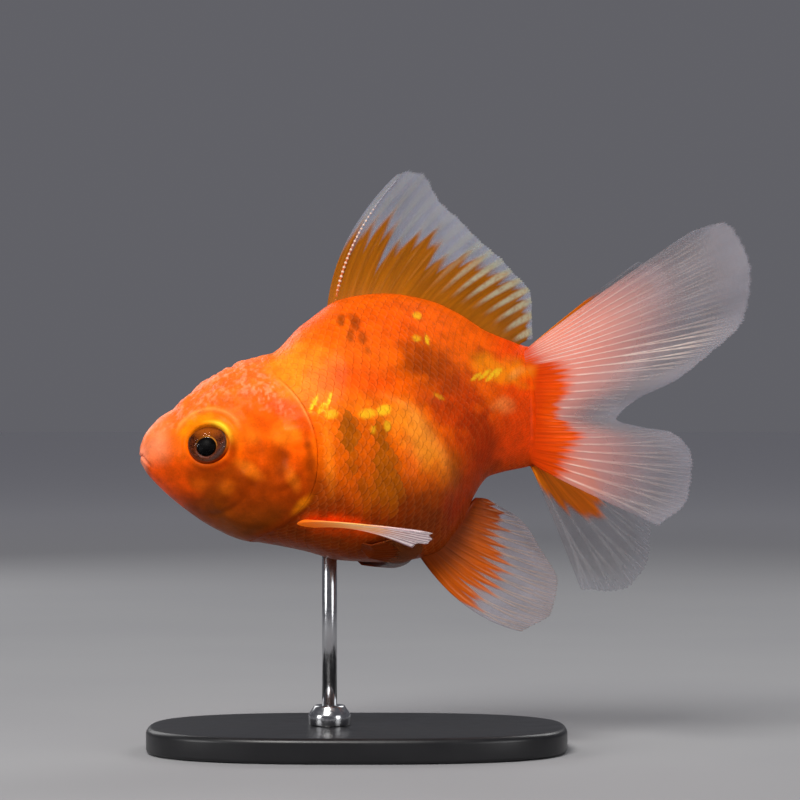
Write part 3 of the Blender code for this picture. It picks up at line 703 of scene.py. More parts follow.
class Finish:
    """A material whose nodes are wired up one call at a time."""

    def __init__(self, name, **numbers):
        self.material = bpy.data.materials.new(name)
        self.material.use_nodes = True
        self.tree = self.material.node_tree
        self.shader = self.tree.nodes["Principled BSDF"]
        self.coordinates = self.tree.nodes.new("ShaderNodeTexCoord").outputs["Object"]
        self.end(**numbers)

    def feed(self, socket, value):
        """Gives an input its value: another node's output, a colour of three numbers or a plain value."""
        if isinstance(value, bpy.types.NodeSocket):
            self.tree.links.new(value, socket)
        elif np.ndim(value) and len(value) == 3 and socket.type == "RGBA":
            socket.default_value = (*value, 1.0)
        else:
            socket.default_value = value

    def node(self, kind, settings=(), **inputs):
        """A new node. Its inputs are fed by their names, with _ for a space."""
        made = self.tree.nodes.new("ShaderNode" + kind)
        for key, value in dict(settings).items():
            setattr(made, key, value)
        for key, value in inputs.items():
            self.feed(made.inputs[key.replace("_", " ")], value)
        return made

    def compute(self, operation, *values, clamp=False, kind="Math"):
        made = self.node(kind, {"operation": operation})
        if clamp:
            made.use_clamp = True
        for socket, value in zip(made.inputs, values):
            self.feed(socket, value)
        return made.outputs[0]

    def add(self, *values, clamp=False):
        return self.compute("ADD", *values, clamp=clamp)

    def times(self, *values, clamp=False):
        return self.compute("MULTIPLY", *values, clamp=clamp)

    def ramp(self, value, low, high, to_low=0.0, to_high=1.0):
        """An eased step from to_low to to_high as the value goes from low to high."""
        made = self.node(
            "MapRange", {"interpolation_type": "SMOOTHSTEP"}, Value=value,
            From_Min=low, From_Max=high, To_Min=to_low, To_Max=to_high,
        )
        return made.outputs["Result"]

    def blend(self, amount, a, b):
        made = self.node("Mix", {"data_type": "RGBA"})
        colours = [socket for socket in made.inputs if socket.type == "RGBA"]
        for socket, value in zip((made.inputs[0], *colours), (amount, a, b)):
            self.feed(socket, value)
        return next(socket for socket in made.outputs if socket.type == "RGBA")

    def noise(self, size, detail=2.0, vector=None):
        where = self.coordinates if vector is None else vector
        return self.node("TexNoise", Vector=where, Scale=1 / size, Detail=detail).outputs["Fac"]

    def value(self, name, kind="Fac"):
        """The number stored on the mesh under this name, or its colour."""
        return self.node("Attribute", {"attribute_name": name}).outputs[kind]

    def bump(self, height, distance, under=None):
        made = self.node("Bump", Distance=distance, Height=height)
        if under is not None:
            self.feed(made.inputs["Normal"], under)
        return made.outputs["Normal"]

    def end(self, **inputs):
        """Feeds the shader that all the other nodes lead to."""
        for key, value in inputs.items():
            self.feed(self.shader.inputs[key.replace("_", " ")], value)
        return self.material

    def mottled(self, pattern, low, high, *rough, **inputs):
        """Ends with colours and a roughness that follow a pattern.

        Rough says between which values of the pattern the roughness changes, and from what to what."""
        colours = self.blend(pattern, low, high)
        return self.end(Base_Color=colours, Roughness=self.ramp(pattern, *rough), **inputs)


def flesh_finish(name):
    """Wet orange skin, for the skin and its scales: mottled, with painted highlights on the scale rims, gold
    flecks painted as glints and a granular crown.
    """
    made = Finish(
        name, IOR=1.34, Specular_IOR_Level=0.3, Specular_Tint=(1.0, 0.5, 0.16), Coat_Weight=0.05,
        Coat_Roughness=0.15, Coat_IOR=1.36,
    )
    ramp, times, noise = made.ramp, made.times, made.noise
    mottle = ramp(noise(2.2 * MM, 3.0), 0.3, 0.7, 0.84, 1.12)
    speckle = ramp(noise(0.35 * MM), 0.3, 0.7, 0.93, 1.06)
    # The scale rims are painted a little brighter and paler: painted highlights along them.
    rim = made.value("Rim")
    shade = times(times(mottle, speckle), ramp(rim, 0.5, 1.0, 1.0, 1.06))
    tint = made.node("HueSaturation", Color=made.value("Tint", "Color"), Value=shade).outputs["Color"]
    tint = made.blend(times(ramp(rim, 0.55, 0.95), 0.07), tint, colour(255, 160, 84))
    # The gold flecks are painted glints: yellow where a fine noise glitters, a little metallic and smoother.
    glitter = ramp(noise(0.5 * MM, 1.0), 0.35, 0.6, 0.7, 1.0)
    gold = times(made.value("Gold"), glitter, clamp=True)
    tint = made.blend(gold, tint, colour(255, 200, 34))
    rough = made.add(ramp(noise(1.3 * MM), 0.3, 0.7, 0.4, 0.54), times(gold, -0.16))
    cells = made.node("TexVoronoi", Vector=made.coordinates, Scale=1 / (0.7 * MM)).outputs["Distance"]
    normal = made.bump(times(ramp(cells, 0.0, 0.7, 1.0, 0.0), made.value("Grain")), 0.12 * MM)
    normal = made.bump(noise(0.28 * MM), 0.025 * MM, normal)
    normal = made.bump(noise(1.1 * MM), 0.06 * MM, normal)
    normal = made.bump(made.compute("SINE", times(made.value("Growth"), 46.0)), 0.006 * MM, normal)
    return made.end(Base_Color=tint, Roughness=rough, Metallic=times(gold, 0.15), Normal=normal)


# ---------------------------------------------------------------- skin

def skin_rows():
    """Where the rows of the skin are on the head and on the trunk, as shares of their lengths."""
    head = evenly(HEAD_ROWS)
    head = mix(head**1.25, 1 - (1 - head) ** 2.0, 0.35)
    trunk = evenly(TRUNK_ROWS)
    trunk = mix(trunk, trunk**2.0, 0.35)
    return head, trunk


# The gill slit, row by row: steps back from the gill line and out from the skin, in mm.
SLIT = [(0.0, 0.05), (0.08, 0.02), (0.10, -0.04), (0.06, -0.10), (-0.12, -0.17), (-0.10, -0.24), (0.1, -0.24)]


def slit_open(up):
    """How open the gill slit is, from how high on the body's round a place lies: -1 belly, 1 back."""
    return smooth(up, -0.985, -0.86) * smooth(up, 0.76, 0.55) * mix(0.15, 1.0, smooth(up, -0.6, 0.1))


def settled(past):
    """How deep the skin lies under the body's surface, past the gill line: the depth of the coat."""
    return mix(HEAD_DEPTH, COAT_DEPTH, smooth(past, 0.0, 1.6 * MM))


def make_skin(finish):
    head, trunk = skin_rows()
    round_share = np.arange(SKIN_COLUMNS) / SKIN_COLUMNS
    line = gill_line_at(round_share)
    open_slit = slit_open(np.sin(angle_at(line, round_share)))
    # Each row: how far back it lies, and how far out from the body's surface.
    rows = []
    for share in head[:-1]:
        along = line * share
        rows.append((along, open_slit * SLIT_LIP * smooth(line - along, SLIT_REACH, 0.0) - HEAD_DEPTH))
    for back, out in SLIT:
        rows.append((line + back * MM * open_slit, out * MM * open_slit - HEAD_DEPTH))
    for share in trunk[1:]:
        along = line + (BODY_LENGTH - line) * share
        past = along - line
        rows.append((along, -settled(past) - open_slit * SLIT_SINK * smooth(past, SLIT_REACH, 0.0)))
    along, out = np.moveaxis(np.array(rows), 1, 0)
    around = angle_at(along, round_share)
    points = surface(along, around, out)
    tint, gold = markings(along, around)

    # The wedge that runs on between the two tail fins.
    wedge = []
    for share in evenly(WEDGE_ROWS + 1)[1:]:
        ring = points[-1].copy()
        ring[:, 0] += WEDGE_LENGTH * share
        ring[:, 1] *= math.cos(share * math.pi / 2) ** 0.8
        ring[:, 2] = mix(ring[:, 2], -1 * MM, 0.10 * share**2)
        wedge.append(ring)
    # The rounded front of the lips.
    nose = []
    for share in (0.25, 0.5, 0.75, 0.92):
        ring = mix(points[0], points[0].mean(0), share)
        groove = bump(ring[:, 2] / MM - MOUTH_UP, 0, 0.17)
        ring[:, 0] += (0.35 * groove - 0.1 * math.sin(share * math.pi / 2)) * MM
        nose.append(ring)
    grid = np.concatenate([nose[::-1], points, wedge])

    def spread(values):
        """The values of the rows carried on over the nose, the wedge and the two end points."""
        whole = np.concatenate([values[:1]] * len(nose) + [values] + [values[-1:]] * len(wedge))
        whole = whole.reshape(-1, *values.shape[2:])
        return np.concatenate([whole, whole[:1], whole[-1:]])

    ahead = (gill_line(around) - along) / MM
    grain = smooth(np.sin(around), 0.3, 0.7) * smooth(along, 4 * MM, 9 * MM) * smooth(ahead, -0.5, 1.5)
    skin = build_mesh(
        "skin", place(np.vstack([grid.reshape(-1, 3), nose[-1].mean(0), wedge[-1].mean(0)])),
        ring_faces(len(grid), SKIN_COLUMNS), finish, "skin",
        {"Tint": spread(tint), "Gold": spread(gold), "Grain": spread(grain)},
    )
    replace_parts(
        skin, "lip_upper", "lip_lower", "head", "gill_cover_left", "gill_cover_right", "trunk", "tail_stalk"
    )


# ---------------------------------------------------------------- scales

def make_scales(finish):
    """Rows of overlapping scales over the trunk and tail stalk, each a thin closed plate."""
    rng = np.random.default_rng(7)
    ways, way = [], COAT_FROM
    while way < COAT_TO:
        shrink = smooth(way, PITCH_SHRINKS_FROM, PITCH_SHRINKS_TO)
        ways.append((way, mix(SCALE_PITCH, TAIL_PITCH, shrink)))
        way += ways[-1][1] / 2
    row, column = (grid.ravel() for grid in np.indices((len(ways), SCALES_ROUND)))
    way, pitch = np.array(ways)[row].T
    share = ((column + 0.5 * (row % 2) + 0.25) / SCALES_ROUND) % 1.0
    jitter = rng.uniform(-1, 1, (4, len(row)))
    centre = back_at(way, share)
    left = np.cos(angle_at(centre, share)) > 0
    front = centre < FRONT_COAT_TO
    inside = (centre >= 0) & (centre < REAR_COAT_TO)
    for word, on_side in (("left", left), ("right", ~left)):
        for part, on_part in (("front", front), ("rear", ~front)):
            mine = inside & on_side & on_part
            own = [values[..., mine] for values in (centre, way, pitch, share, jitter)]
            one_coat(f"scales_{word}_{part}", *own, finish)


def one_coat(name, centre, way, pitch, round_share, jitter, finish):
    """One mesh of scales, from where each lies along and round the body, and its row's pitch."""
    wide = girth(centre) / SCALES_ROUND / 2 * SCALE_OVERWIDTH * (1 + 0.03 * jitter[1])
    turn = full_turn(SCALE_SIDES)
    ring = np.stack([np.cos(turn), signed_power(np.sin(turn), 0.92), np.ones(SCALE_SIDES)], axis=-1)
    # A plate's own points: lengthwise, sideways and from its middle. The last one is the keel under it.
    local = np.vstack([np.zeros(3), *(radius * ring for radius in SCALE_RADII), np.zeros(3)])
    lengthwise, sideways, radius = local.T
    # Each plate rises from its root, inside the skin, to its free rear edge.
    lean = jitter[2][:, None] * 0.04
    forward = lengthwise * (pitch * SCALE_LENGTH * (1 + 0.03 * jitter[0]))[:, None] / 2
    across = sideways * wide[:, None]
    share = round_share[:, None] + (across - lean * forward) / girth(centre)[:, None]
    past = np.maximum(way[:, None] + forward + lean * across, 0.1 * MM)
    along = np.minimum(back_at(past, share), BODY_LENGTH)
    around = angle_at(along, share)
    rise = mix(SCALE_SINK, SCALE_RISE, (lengthwise + 1) / 2) + SCALE_CROWN * (1 - sideways**2)
    rise = (rise + 0.01 * jitter[3][:, None]) * MM - SCALE_THICKNESS * 0.5 * smooth(radius, 0.85, 1.0)
    rise[:, -1] -= SCALE_KEEL
    behind = along - gill_line_at(share)
    sunk = slit_open(np.sin(around)) * SLIT_SINK * smooth(behind, SLIT_REACH, 0.0)
    points = surface(along, around, rise - settled(behind) - sunk)
    ids = np.arange(len(centre))[:, None, None] * len(local)
    one_scale = ring_faces(len(SCALE_RADII), SCALE_SIDES, ends=(0, len(local) - 1), start=1)
    faces = [(group + ids).reshape(-1, group.shape[1]) for group in one_scale]

    def for_each(values):
        return np.broadcast_to(values, along.shape)

    tint, gold = markings(
        along, around, for_each(centre[:, None]), for_each(angle_at(centre, round_share)[:, None])
    )
    tint = tint * (1 + 0.05 * jitter[0][:, None, None])
    coat = build_mesh(name, place(points), faces, finish, "skin", {
        "Tint": tint.reshape(-1, 3),
        "Gold": gold.ravel(),
        "Rim": for_each(radius * smooth(lengthwise, -0.2, 0.6)).ravel(),
        "Growth": for_each(np.hypot(lengthwise + 0.5, sideways)).ravel(),
    })
    # For baking, each scale has a small patch of its own at its place in the map.
    root = 0.01 + 0.98 * np.stack([centre / BODY_LENGTH, round_share % 1], axis=-1)
    bake = root[:, None] + local[None, :, :2] * BAKE_PATCH * 0.98
    put_map(coat.data, "OFBake", bake.reshape(-1, 2))


# ---------------------------------------------------------------- eyes

def eye_axes():
    """Directions of the eye: towards the snout, up, and outwards along its axis."""
    axis = unit(np.array([-math.sin(EYE_FORWARD), -math.cos(EYE_FORWARD), math.sin(EYE_UP)]))
    across = unit(np.cross(axis, [0, 0, 1]))
    return across, np.cross(across, axis), axis


def turned_on_eye(name, profile, side, finish, shift=(0.0, 0.0)):
    """A round piece about the eye's axis, from rows of (radius, reach outwards) in mm.

    The shift moves its middle across and up, and leaves its rim where it is."""
    across, upward, axis = eye_axes()
    turn = full_turn(EYE_TURNS)
    rows = np.array(profile) * EYE_SCALE * MM
    radius, reach = rows[:, :1], rows[:, 1:]
    off = smooth(radius, 3.5 * MM, 2.2 * MM) * smooth(reach, 0.0, 1.0 * MM)
    middle = EYE_CENTRE + off * (shift[0] * across + shift[1] * upward) + reach * axis
    spokes = np.cos(turn)[:, None] * across + np.sin(turn)[:, None] * upward
    rings = middle[:, None] + radius[:, None] * spokes
    flat = np.vstack([rings.reshape(-1, 3), middle[0], middle[-1]])
    flat[:, 1] *= -side
    radius = np.concatenate([np.repeat(radius, EYE_TURNS), radius[0], radius[-1]]) / (EYE_SCALE * MM)
    bearing = np.concatenate([np.tile(turn, len(rows)), [0, 0]])
    values = {"Radius": radius, "Across": radius * np.cos(bearing), "Upward": radius * np.sin(bearing)}
    faces = ring_faces(len(rows), EYE_TURNS)
    return build_mesh(name, place(flat), faces, finish, "eye", values, outward=True)


def eye_finishes():
    iris = Finish("iris and sclera", Specular_IOR_Level=0.12)
    ramp, times, blend = iris.ramp, iris.times, iris.blend
    radius, upward, across = iris.value("Radius"), iris.value("Upward"), iris.value("Across")
    streak = iris.noise(0.35 * MM, 3.0)
    tone = blend(ramp(streak, 0.3, 0.7), colour(50, 17, 1), colour(96, 36, 2))
    # A painted copper sheen over the top, a dark crescent low behind the pupil, a thin gold ring round it,
    # painted brighter above and to the rear.
    tone = blend(times(ramp(upward, 1.2, 3.2), 0.75), tone, colour(190, 92, 10))
    low_rear = iris.add(times(across, -0.74), times(upward, -0.68))
    crescent = times(ramp(low_rear, 1.9, 3.0), ramp(radius, 2.2, 2.7))
    tone = blend(times(crescent, 0.8), tone, colour(66, 46, 42))
    ring = times(ramp(radius, 2.0, 2.1), ramp(radius, 2.4, 2.15))
    lit = times(ramp(upward, -1.0, 2.0), ramp(across, 1.6, -1.6, 0.25, 1.0))
    tone = blend(times(ring, lit, clamp=True), tone, colour(206, 132, 36))
    # The dark edge of the iris, and a ring round it that is painted brighter above and to the rear, a painted
    # highlight.
    tone = blend(ramp(radius, 3.5, 3.75), tone, colour(70, 30, 8))
    rear_lit = times(ramp(across, 1.0, -3.0), ramp(upward, -3.0, 1.0))
    edge = blend(rear_lit, colour(120, 40, 3), colour(255, 160, 36))
    tone = blend(ramp(radius, 3.8, 4.1), tone, edge)
    iris.end(
        Base_Color=tone, Roughness=ramp(streak, 0.2, 0.8, 0.22, 0.4),
        Metallic=times(ramp(radius, 3.6, 3.4), 0.12), Normal=iris.bump(streak, 0.05 * MM),
    )

    pupil = Finish("pupil", Specular_IOR_Level=0.05)
    pupil.mottled(pupil.noise(1.5 * MM), colour(3, 3, 4), colour(9, 7, 6), 0, 1, 0.4, 0.5)

    cornea = Finish("cornea", Metallic=1.0, IOR=1.38)
    shine = cornea.times(cornea.node("Fresnel", IOR=1.12).outputs[0], 0.3)
    cornea.mottled(
        cornea.noise(2 * MM), (0.97, 0.97, 1.0), (1.0, 1.0, 1.0), 0.2, 0.8, 0.02, 0.05,
        Alpha=cornea.add(shine, 0.001, clamp=True),
    )
    return iris.material, pupil.material, cornea.material


def make_eyes():
    """Each eye: a globe with a hollow in front, the pupil's lens in it, and a clear cap over both."""
    finishes = eye_finishes()
    ball, lens = EYE_RADIUS / MM, PUPIL_RADIUS / MM

    def dome(radius, grow=0.0):
        return (ball * EYE_FLATNESS + grow) * math.sqrt(max(0.0, 1 - (radius / (ball + grow)) ** 2))

    lip = dome(IRIS_LIP)
    globe = [(r, -dome(r)) for r in (0.5, 1.4, 2.4, 3.3, 4.0, 4.4, EYE_SEAM)]
    globe += [(r, dome(r)) for r in (EYE_SEAM, 4.5, 4.3, 4.1, IRIS_LIP)] + [(3.82, lip - 0.06)]
    globe += [(r, lip - 0.12 - 0.24 * (3.8 - r)) for r in (3.75, 3.5, 3.2, 2.9, 2.6, 2.3)]
    globe += [(r, lip - down) for r, down in ((2.12, 0.5), (1.95, 0.62), (1.6, 1.1), (0.4, 1.3))]
    front = lip + 0.42
    pupil = [(0.15, front - 1.6)]
    pupil += [(lens * math.sin(x), front - 1.05 + 1.05 * math.cos(x)) for x in np.linspace(2.3, 0.08, 14)]
    cornea = [(r, dome(r, 0.06) - 0.14) for r in np.linspace(0.12, 4.0, 22)]
    cornea += [(r, dome(r, 0.06)) for r in np.linspace(4.05, 0.12, 22)]
    parts = (("iris", globe, PUPIL_SHIFT), ("pupil", pupil, PUPIL_SHIFT), ("cornea", cornea, (0.0, 0.0)))
    for side, word in ((-1, "left"), (1, "right")):
        pieces = [
            turned_on_eye(f"eye_{word}_{part}", profile, side, finish, shift)
            for (part, profile, shift), finish in zip(parts, finishes)
        ]
        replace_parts(pieces[0], f"eye_{word}")


# ---------------------------------------------------------------- fins

# Each fin's root, its margin, and how far its middle bows from halfway between them: share of the way
# across the fin, then how far back, sideways and up (mm).
DORSAL_ROOT = [(0, 37.2, 0, 17.5), (0.35, 49, 0, 20.2), (0.7, 62, 0, 17.2), (1, 75, 0, 10.4)]
DORSAL_MARGIN = [
    (0, 52.6, 0.0, 47.0), (0.06, 55.0, 0.3, 47.9), (0.12, 57.6, 0.6, 47.4), (0.3, 62.2, 1.2, 41.2),
    (0.5, 69.0, 0.8, 34.0), (0.68, 75.2, -0.4, 27.8), (0.84, 79.6, -1.2, 22.0), (1, 79.6, -0.6, 13.0),
]
DORSAL_BOW = [(0, -6.2, 0, 1.6), (0.3, -2.4, 0.3, 1.0), (1, 0, -0.4, 0.8)]

ANAL_ROOT = [(0, 54.8, 0, -31.0), (0.5, 61, 0, -27), (1, 67, 0, -19.6)]
ANAL_MARGIN = [
    (0, 76.4, 0.0, -46.6), (0.2, 82.4, 0.8, -43.0), (0.45, 84.6, 1.4, -36.4), (0.7, 80.6, 1.0, -29.0),
    (0.88, 76.0, 0.4, -23.6), (1, 71.0, 0.0, -20.8),
]
ANAL_BOW = [(0, -2.2, 0, -5.4), (0.5, 0.6, 0.4, -1.6), (1, 0.6, 0, 0.6)]

TAIL_ROOT = [
    (0, 78.4, -0.2, 11.0), (0.2, 78.4, -0.6, 9.2), (0.45, 78.4, -1.0, 5.6),
    (0.62, 78.4, -1.0, -1.4), (0.82, 78.4, -0.6, -8.4), (1, 78.4, -0.2, -12.4),
]
TAIL_SIDEWAYS = -1.45
TAIL_SPREAD_FROM = 78 * MM
# Margins of the tail fins, both drawn flat at TAIL_SIDEWAYS: share, how far back, how high (mm).
LEFT_TAIL_MARGIN = [
    (0, 112.5, 34.0), (0.06, 118.0, 35.6), (0.12, 121.5, 32.6), (0.2, 123.6, 27.4), (0.28, 124.0, 21.4),
    (0.37, 121.9, 14.4), (0.46, 115.8, 7.6), (0.54, 108.0, 2.0), (0.6, 100.5, -1.0), (0.65, 96.5, -4.4),
    (0.7, 101.0, -6.2), (0.78, 108.5, -8.4), (0.86, 112.2, -14.4), (0.94, 110.8, -21.8), (1, 105.0, -27.0),
]
RIGHT_TAIL_MARGIN = [
    (0, 111.0, 33.2), (0.07, 117.0, 33.6), (0.18, 121.5, 29.5), (0.32, 119.0, 18.0), (0.46, 111.0, 6.0),
    (0.6, 98.0, -6.0), (0.68, 109.0, -11.0), (0.78, 120.0, -18.6), (0.88, 119.0, -28.6), (0.95, 107.5, -36.8),
    (1, 95.0, -37.4),
]
TAIL_BOW = [(0, -0.6, 0, 0.6), (0.5, 0, 0, 0), (1, 0.4, 0, -0.4)]
# Side of the fish, turn outwards of the first and the last ray (degrees), cupping (mm).
LEFT_SWING, RIGHT_SWING = (-1, 22, 36, 2.5), (1, 22, 34, 2.5)

PECTORAL_ROOT = [(0, 28.6, -8.8, -25.2), (1, 29.8, -7.2, -26.6)]
PECTORAL_MARGIN = [
    (0, 51.0, -25.0, -29.4), (0.25, 54.2, -22.6, -29.7), (0.5, 55.0, -19.8, -30.2),
    (0.75, 54.4, -16.6, -30.9), (1, 51.8, -14.4, -31.4),
]
PECTORAL_BOW = [(0, 0, -3.4, 0.6), (0.5, 0, -4.0, 1.4), (1, 0, -5.4, 3.0)]

PELVIC_ANGLES = math.radians(-74), math.radians(-54)
PELVIC_FROM, PELVIC_LENGTH = 42.0 * MM, 12.5 * MM
FIN_THICKNESS = 0.2 * MM
FIN_VALUES = "Pigment", "Blush", "Shine", "Deep", "Bare"


def curve_of(rows):
    data = np.array(rows, float)
    return smooth_curve(data[:, 0], data[:, 1:])


def ray_height(share, reach, rays):
    """The ray pattern of a fin, 0 to 1: each ray forks in two on its way out, and then in four."""
    from_ray = np.abs((share * rays) % 1.0 - 0.5)
    fork, twig = 0.25 * smooth(reach, 0.30, 1.0), 0.125 * smooth(reach, 0.6, 1.05)
    off = np.abs(np.abs(from_ray - fork) - twig)
    return smooth(off, mix(0.2, 0.085, reach), 0.0)


def fin_grid(root, margin, bow, across, along, rays, inside, scallop):
    """Mid surface of a fin, from a little inside the body to its scalloped margin.

    With it come the places of its points, across and along the fin, from 0 to 1."""
    s = evenly(across + 1)
    start, end = curve_of(root)(s) * MM, curve_of(margin)(s) * MM
    middle = (start + end) / 2 + curve_of(bow)(s) * MM
    t = np.concatenate([[-inside, -inside / 2], evenly(along + 1) ** 0.95])[None, :]
    notch = scallop * (1 - ray_height(s, 1.0, rays)) + scallop * 0.7 * np.abs(np.sin(s * rays * 0.71 + 1.3))
    w = (t * (1 - notch[:, None] * smooth(t, 0.5, 1.0)))[..., None]
    sheet = (1 - w) ** 2 * start[:, None] + 2 * w * (1 - w) * middle[:, None] + w**2 * end[:, None]
    share, t = np.broadcast_arrays(s[:, None], t)
    return sheet, share, np.clip(t, 0, 1)


def swing(sheet, side, top, bottom, cup):
    """Turns a flat tail fin outwards, from top at its first ray to bottom at its last, and cups it."""
    turn = np.linspace(math.radians(top), math.radians(bottom), sheet.shape[0])[:, None]
    reach = np.clip(sheet[..., 0] - TAIL_SPREAD_FROM, 0, None)
    soft = reach**2 / (reach + 4 * MM)
    out = soft * np.sin(turn) + cup * MM * (reach / (45 * MM)) ** 2
    back = sheet[..., 0] - reach + reach * np.cos(turn)
    return np.stack([back, -side * (sheet[..., 1] - out), sheet[..., 2]], axis=-1)


def make_fin(name, grid, rays, thickness, waves, values, finish, fleshy, ribs):
    """The fin as a thin closed plate with raised, forking rays and a gentle wave in its web.

    Thickness is that of its root and ribs the rays' height, in mm; fleshy is how far out the root reaches.
    Waves are their number, their height in mm and where they start; values gives what the finish reads."""
    sheet, share, reach = grid
    posed = place(sheet)
    normal = unit(np.cross(np.gradient(posed, axis=0), np.gradient(posed, axis=1)))
    count, height, start = waves
    wave = np.sin(2 * math.pi * (share * count + 0.35 * reach) + start) * smooth(reach, 0.15, 1.0)
    wave = wave * height * MM * smooth(share, 0.0, 0.06) * smooth(share, 1.0, 0.94)
    posed = posed + normal * wave[..., None]
    swell = np.clip(1 - reach / fleshy, 0, 1) ** 1.5 * np.clip(1 - (2 * share - 1) ** 6, 0, 1) ** 0.5
    ridge = ray_height(share, reach, rays) * ribs * MM * (1 - 0.55 * reach) * smooth(reach, 0.08, 0.4)
    half = (mix(FIN_THICKNESS, thickness * MM, swell) + ridge) / 2 * smooth(reach, 1.04, 0.93)
    points = [posed + normal * half[..., None], posed - normal * half[..., None]]
    rows, columns = share.shape
    size = rows * columns
    top, under = grid_faces(rows, columns), grid_faces(rows, columns, start=size)[:, ::-1]
    rim = np.concatenate([
        np.arange(columns), np.arange(1, rows) * columns + columns - 1,
        (rows - 1) * columns + np.arange(columns - 2, -1, -1), np.arange(rows - 2, 0, -1) * columns,
    ])
    after = np.roll(rim, -1)
    edge = np.stack([rim, after, size + after, size + rim], axis=-1)

    def both(field):
        """The values of the sheet, for the points of its two faces."""
        return np.tile(np.broadcast_to(field, share.shape).ravel(), 2)

    # The root of the fin has the colour of the body beside it.
    root = sheet[:, 2]
    along = np.clip(root[:, 0], 0, BODY_LENGTH - 0.5 * MM)
    around = angle_of_height(along, root[:, 2])
    around = np.where(root[:, 1] > 0.3 * MM, math.pi - around, around)
    tint = 0.88 * np.broadcast_to(markings(along, around)[0][:, None], (rows, columns, 3)).reshape(-1, 3)
    stored = {key: both(field) for key, field in zip(FIN_VALUES, values(share, reach))}
    fin = build_mesh(
        name + "_web", np.vstack([side.reshape(-1, 3) for side in points]),
        [np.concatenate([top, under, edge])], finish, "fin", {**stored, "Tint": np.vstack([tint, tint])},
        outward=True,
    )
    put_map(fin.data, "Fan", np.stack([both(share), both(reach)], axis=-1))
    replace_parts(fin, name)


def fin_finish(
    name, rays, flesh, ray, web, blush, web_alpha, ray_alpha, flesh_alpha, ragged, tips=0.15,
    width=(0.13, 0.05), forked=1.0, fringe=0.0, soft=1.0, through=0.0,
):
    """A clear, veined fin: coloured flesh at its root with a ragged edge, pale forking rays, clear web.

    It reads the fin's own map, across and along its rays, and the values stored on the fin: how far the
    flesh runs out beyond each point (Pigment), the blush of the web, how bright the rays are (Shine), and
    how much the flesh has its second colour (Deep) or lets the rays show (Bare). Tips is how far the flesh
    runs out along each ray, and width that of a ray at its root and its end, as a share of a ray's space."""
    made = Finish(
        name, IOR=1.4, Specular_IOR_Level=0.25, Specular_Tint=(1.0, 0.6, 0.36), Coat_Weight=0.03,
        Coat_Roughness=0.25, Subsurface_Weight=0.15, Subsurface_Scale=0.8 * MM,
        Subsurface_Radius=(1.0, 0.6, 0.5),
    )
    ramp, blend, times, add, value = made.ramp, made.blend, made.times, made.add, made.value
    compute = made.compute
    ray, web, blush = colour(*ray), colour(*web), colour(*blush)
    place_on = made.node("UVMap", {"uv_map": "Fan"}).outputs["UV"]
    s, t, _ = made.node("SeparateXYZ", Vector=place_on).outputs

    def streaks(across, along, detail=2.0):
        where = made.node("CombineXYZ", X=times(s, rays * across), Y=times(t, along)).outputs[0]
        return made.noise(1.0, detail, where)

    # The rays, each forking in two and then in four.
    wobble = times(add(streaks(0.35, 2.0), -0.5), 0.12)
    from_ray = compute("ABSOLUTE", add(compute("FRACT", add(times(s, rays), wobble)), -0.5))
    off = from_ray
    for fork in (ramp(t, 0.30, 1.0, 0.0, 0.25 * forked), ramp(t, 0.6, 1.05, 0.0, 0.125 * forked)):
        off = compute("ABSOLUTE", compute("SUBTRACT", off, fork))
    vein = ramp(compute("DIVIDE", off, ramp(t, 0.0, 1.0, *width)), 1.0, 0.15)
    vein = times(vein, ramp(streaks(3.0, 14.0), 0.25, 0.6, 0.55, 1.0))

    # How far inside the flesh's ragged edge each place is.
    rag = times(add(streaks(1.0, 1.6, 3.0), -0.5), ragged * 2)
    small_rag = times(add(streaks(4.0, 9.0), -0.5), ragged * 0.35)
    reach = add(value("Pigment"), add(rag, small_rag))
    reach = add(add(reach, times(from_ray, times(streaks(0.9, 0.4), -2.0 * tips))), 0.2 * tips)
    flesh_cover = ramp(reach, -0.07 * soft, 0.05 * soft)
    web_cover = compute("SUBTRACT", 1.0, flesh_cover)

    haze = streaks(0.5, 3.0, 3.0)
    tone = blend(value("Blush"), blend(ramp(haze, 0.3, 0.7), web, 0.72 * web), blush)
    shine = times(vein, value("Shine"), clamp=True)
    tone = blend(shine, tone, ray)
    streaky = ramp(streaks(2.4, 1.6, 3.0), 0.3, 0.7, 0.8, 1.12)
    paint = blend(value("Deep"), *(colour(*levels) for levels in flesh))
    paint = made.node("HueSaturation", Color=paint, Value=streaky).outputs["Color"]
    paint = blend(times(shine, value("Bare")), paint, ray)
    paint = blend(ramp(t, 0.07, 0.0), paint, value("Tint", "Color"))
    tone = blend(flesh_cover, tone, paint)
    bluish = times(ramp(t, 0.8, 0.98, 0.0, fringe), web_cover)
    tone = blend(bluish, tone, colour(190, 194, 210))

    clear = add(web_alpha, times(value("Blush"), 0.22))
    clear = add(clear, times(shine, ray_alpha - web_alpha))
    clear = add(clear, times(add(haze, -0.5), 0.12))
    solid = times(ramp(reach, -0.04, 0.12, 0.76, 1.0), flesh_alpha)
    alpha = add(times(clear, web_cover), times(solid, flesh_cover), clamp=True)

    raised = times(vein, ramp(reach, 0.1, -0.05, 0.12, 1.0))
    joints = compute("SINE", times(t, 300.0))
    normal = made.bump(times(joints, raised), 0.015 * MM)
    normal = made.bump(raised, 0.06 * MM, normal)
    normal = made.bump(streaks(5.0, 4.0), 0.04 * MM, normal)
    # Painted light: the fin gives off light in its own colour, standing in for light that comes through it.
    if through:
        made.end(Emission_Color=tone, Emission_Strength=through)
    rough = ramp(haze, 0.2, 0.8, 0.3, 0.46)
    return made.end(Base_Color=tone, Roughness=rough, Alpha=alpha, Normal=normal)


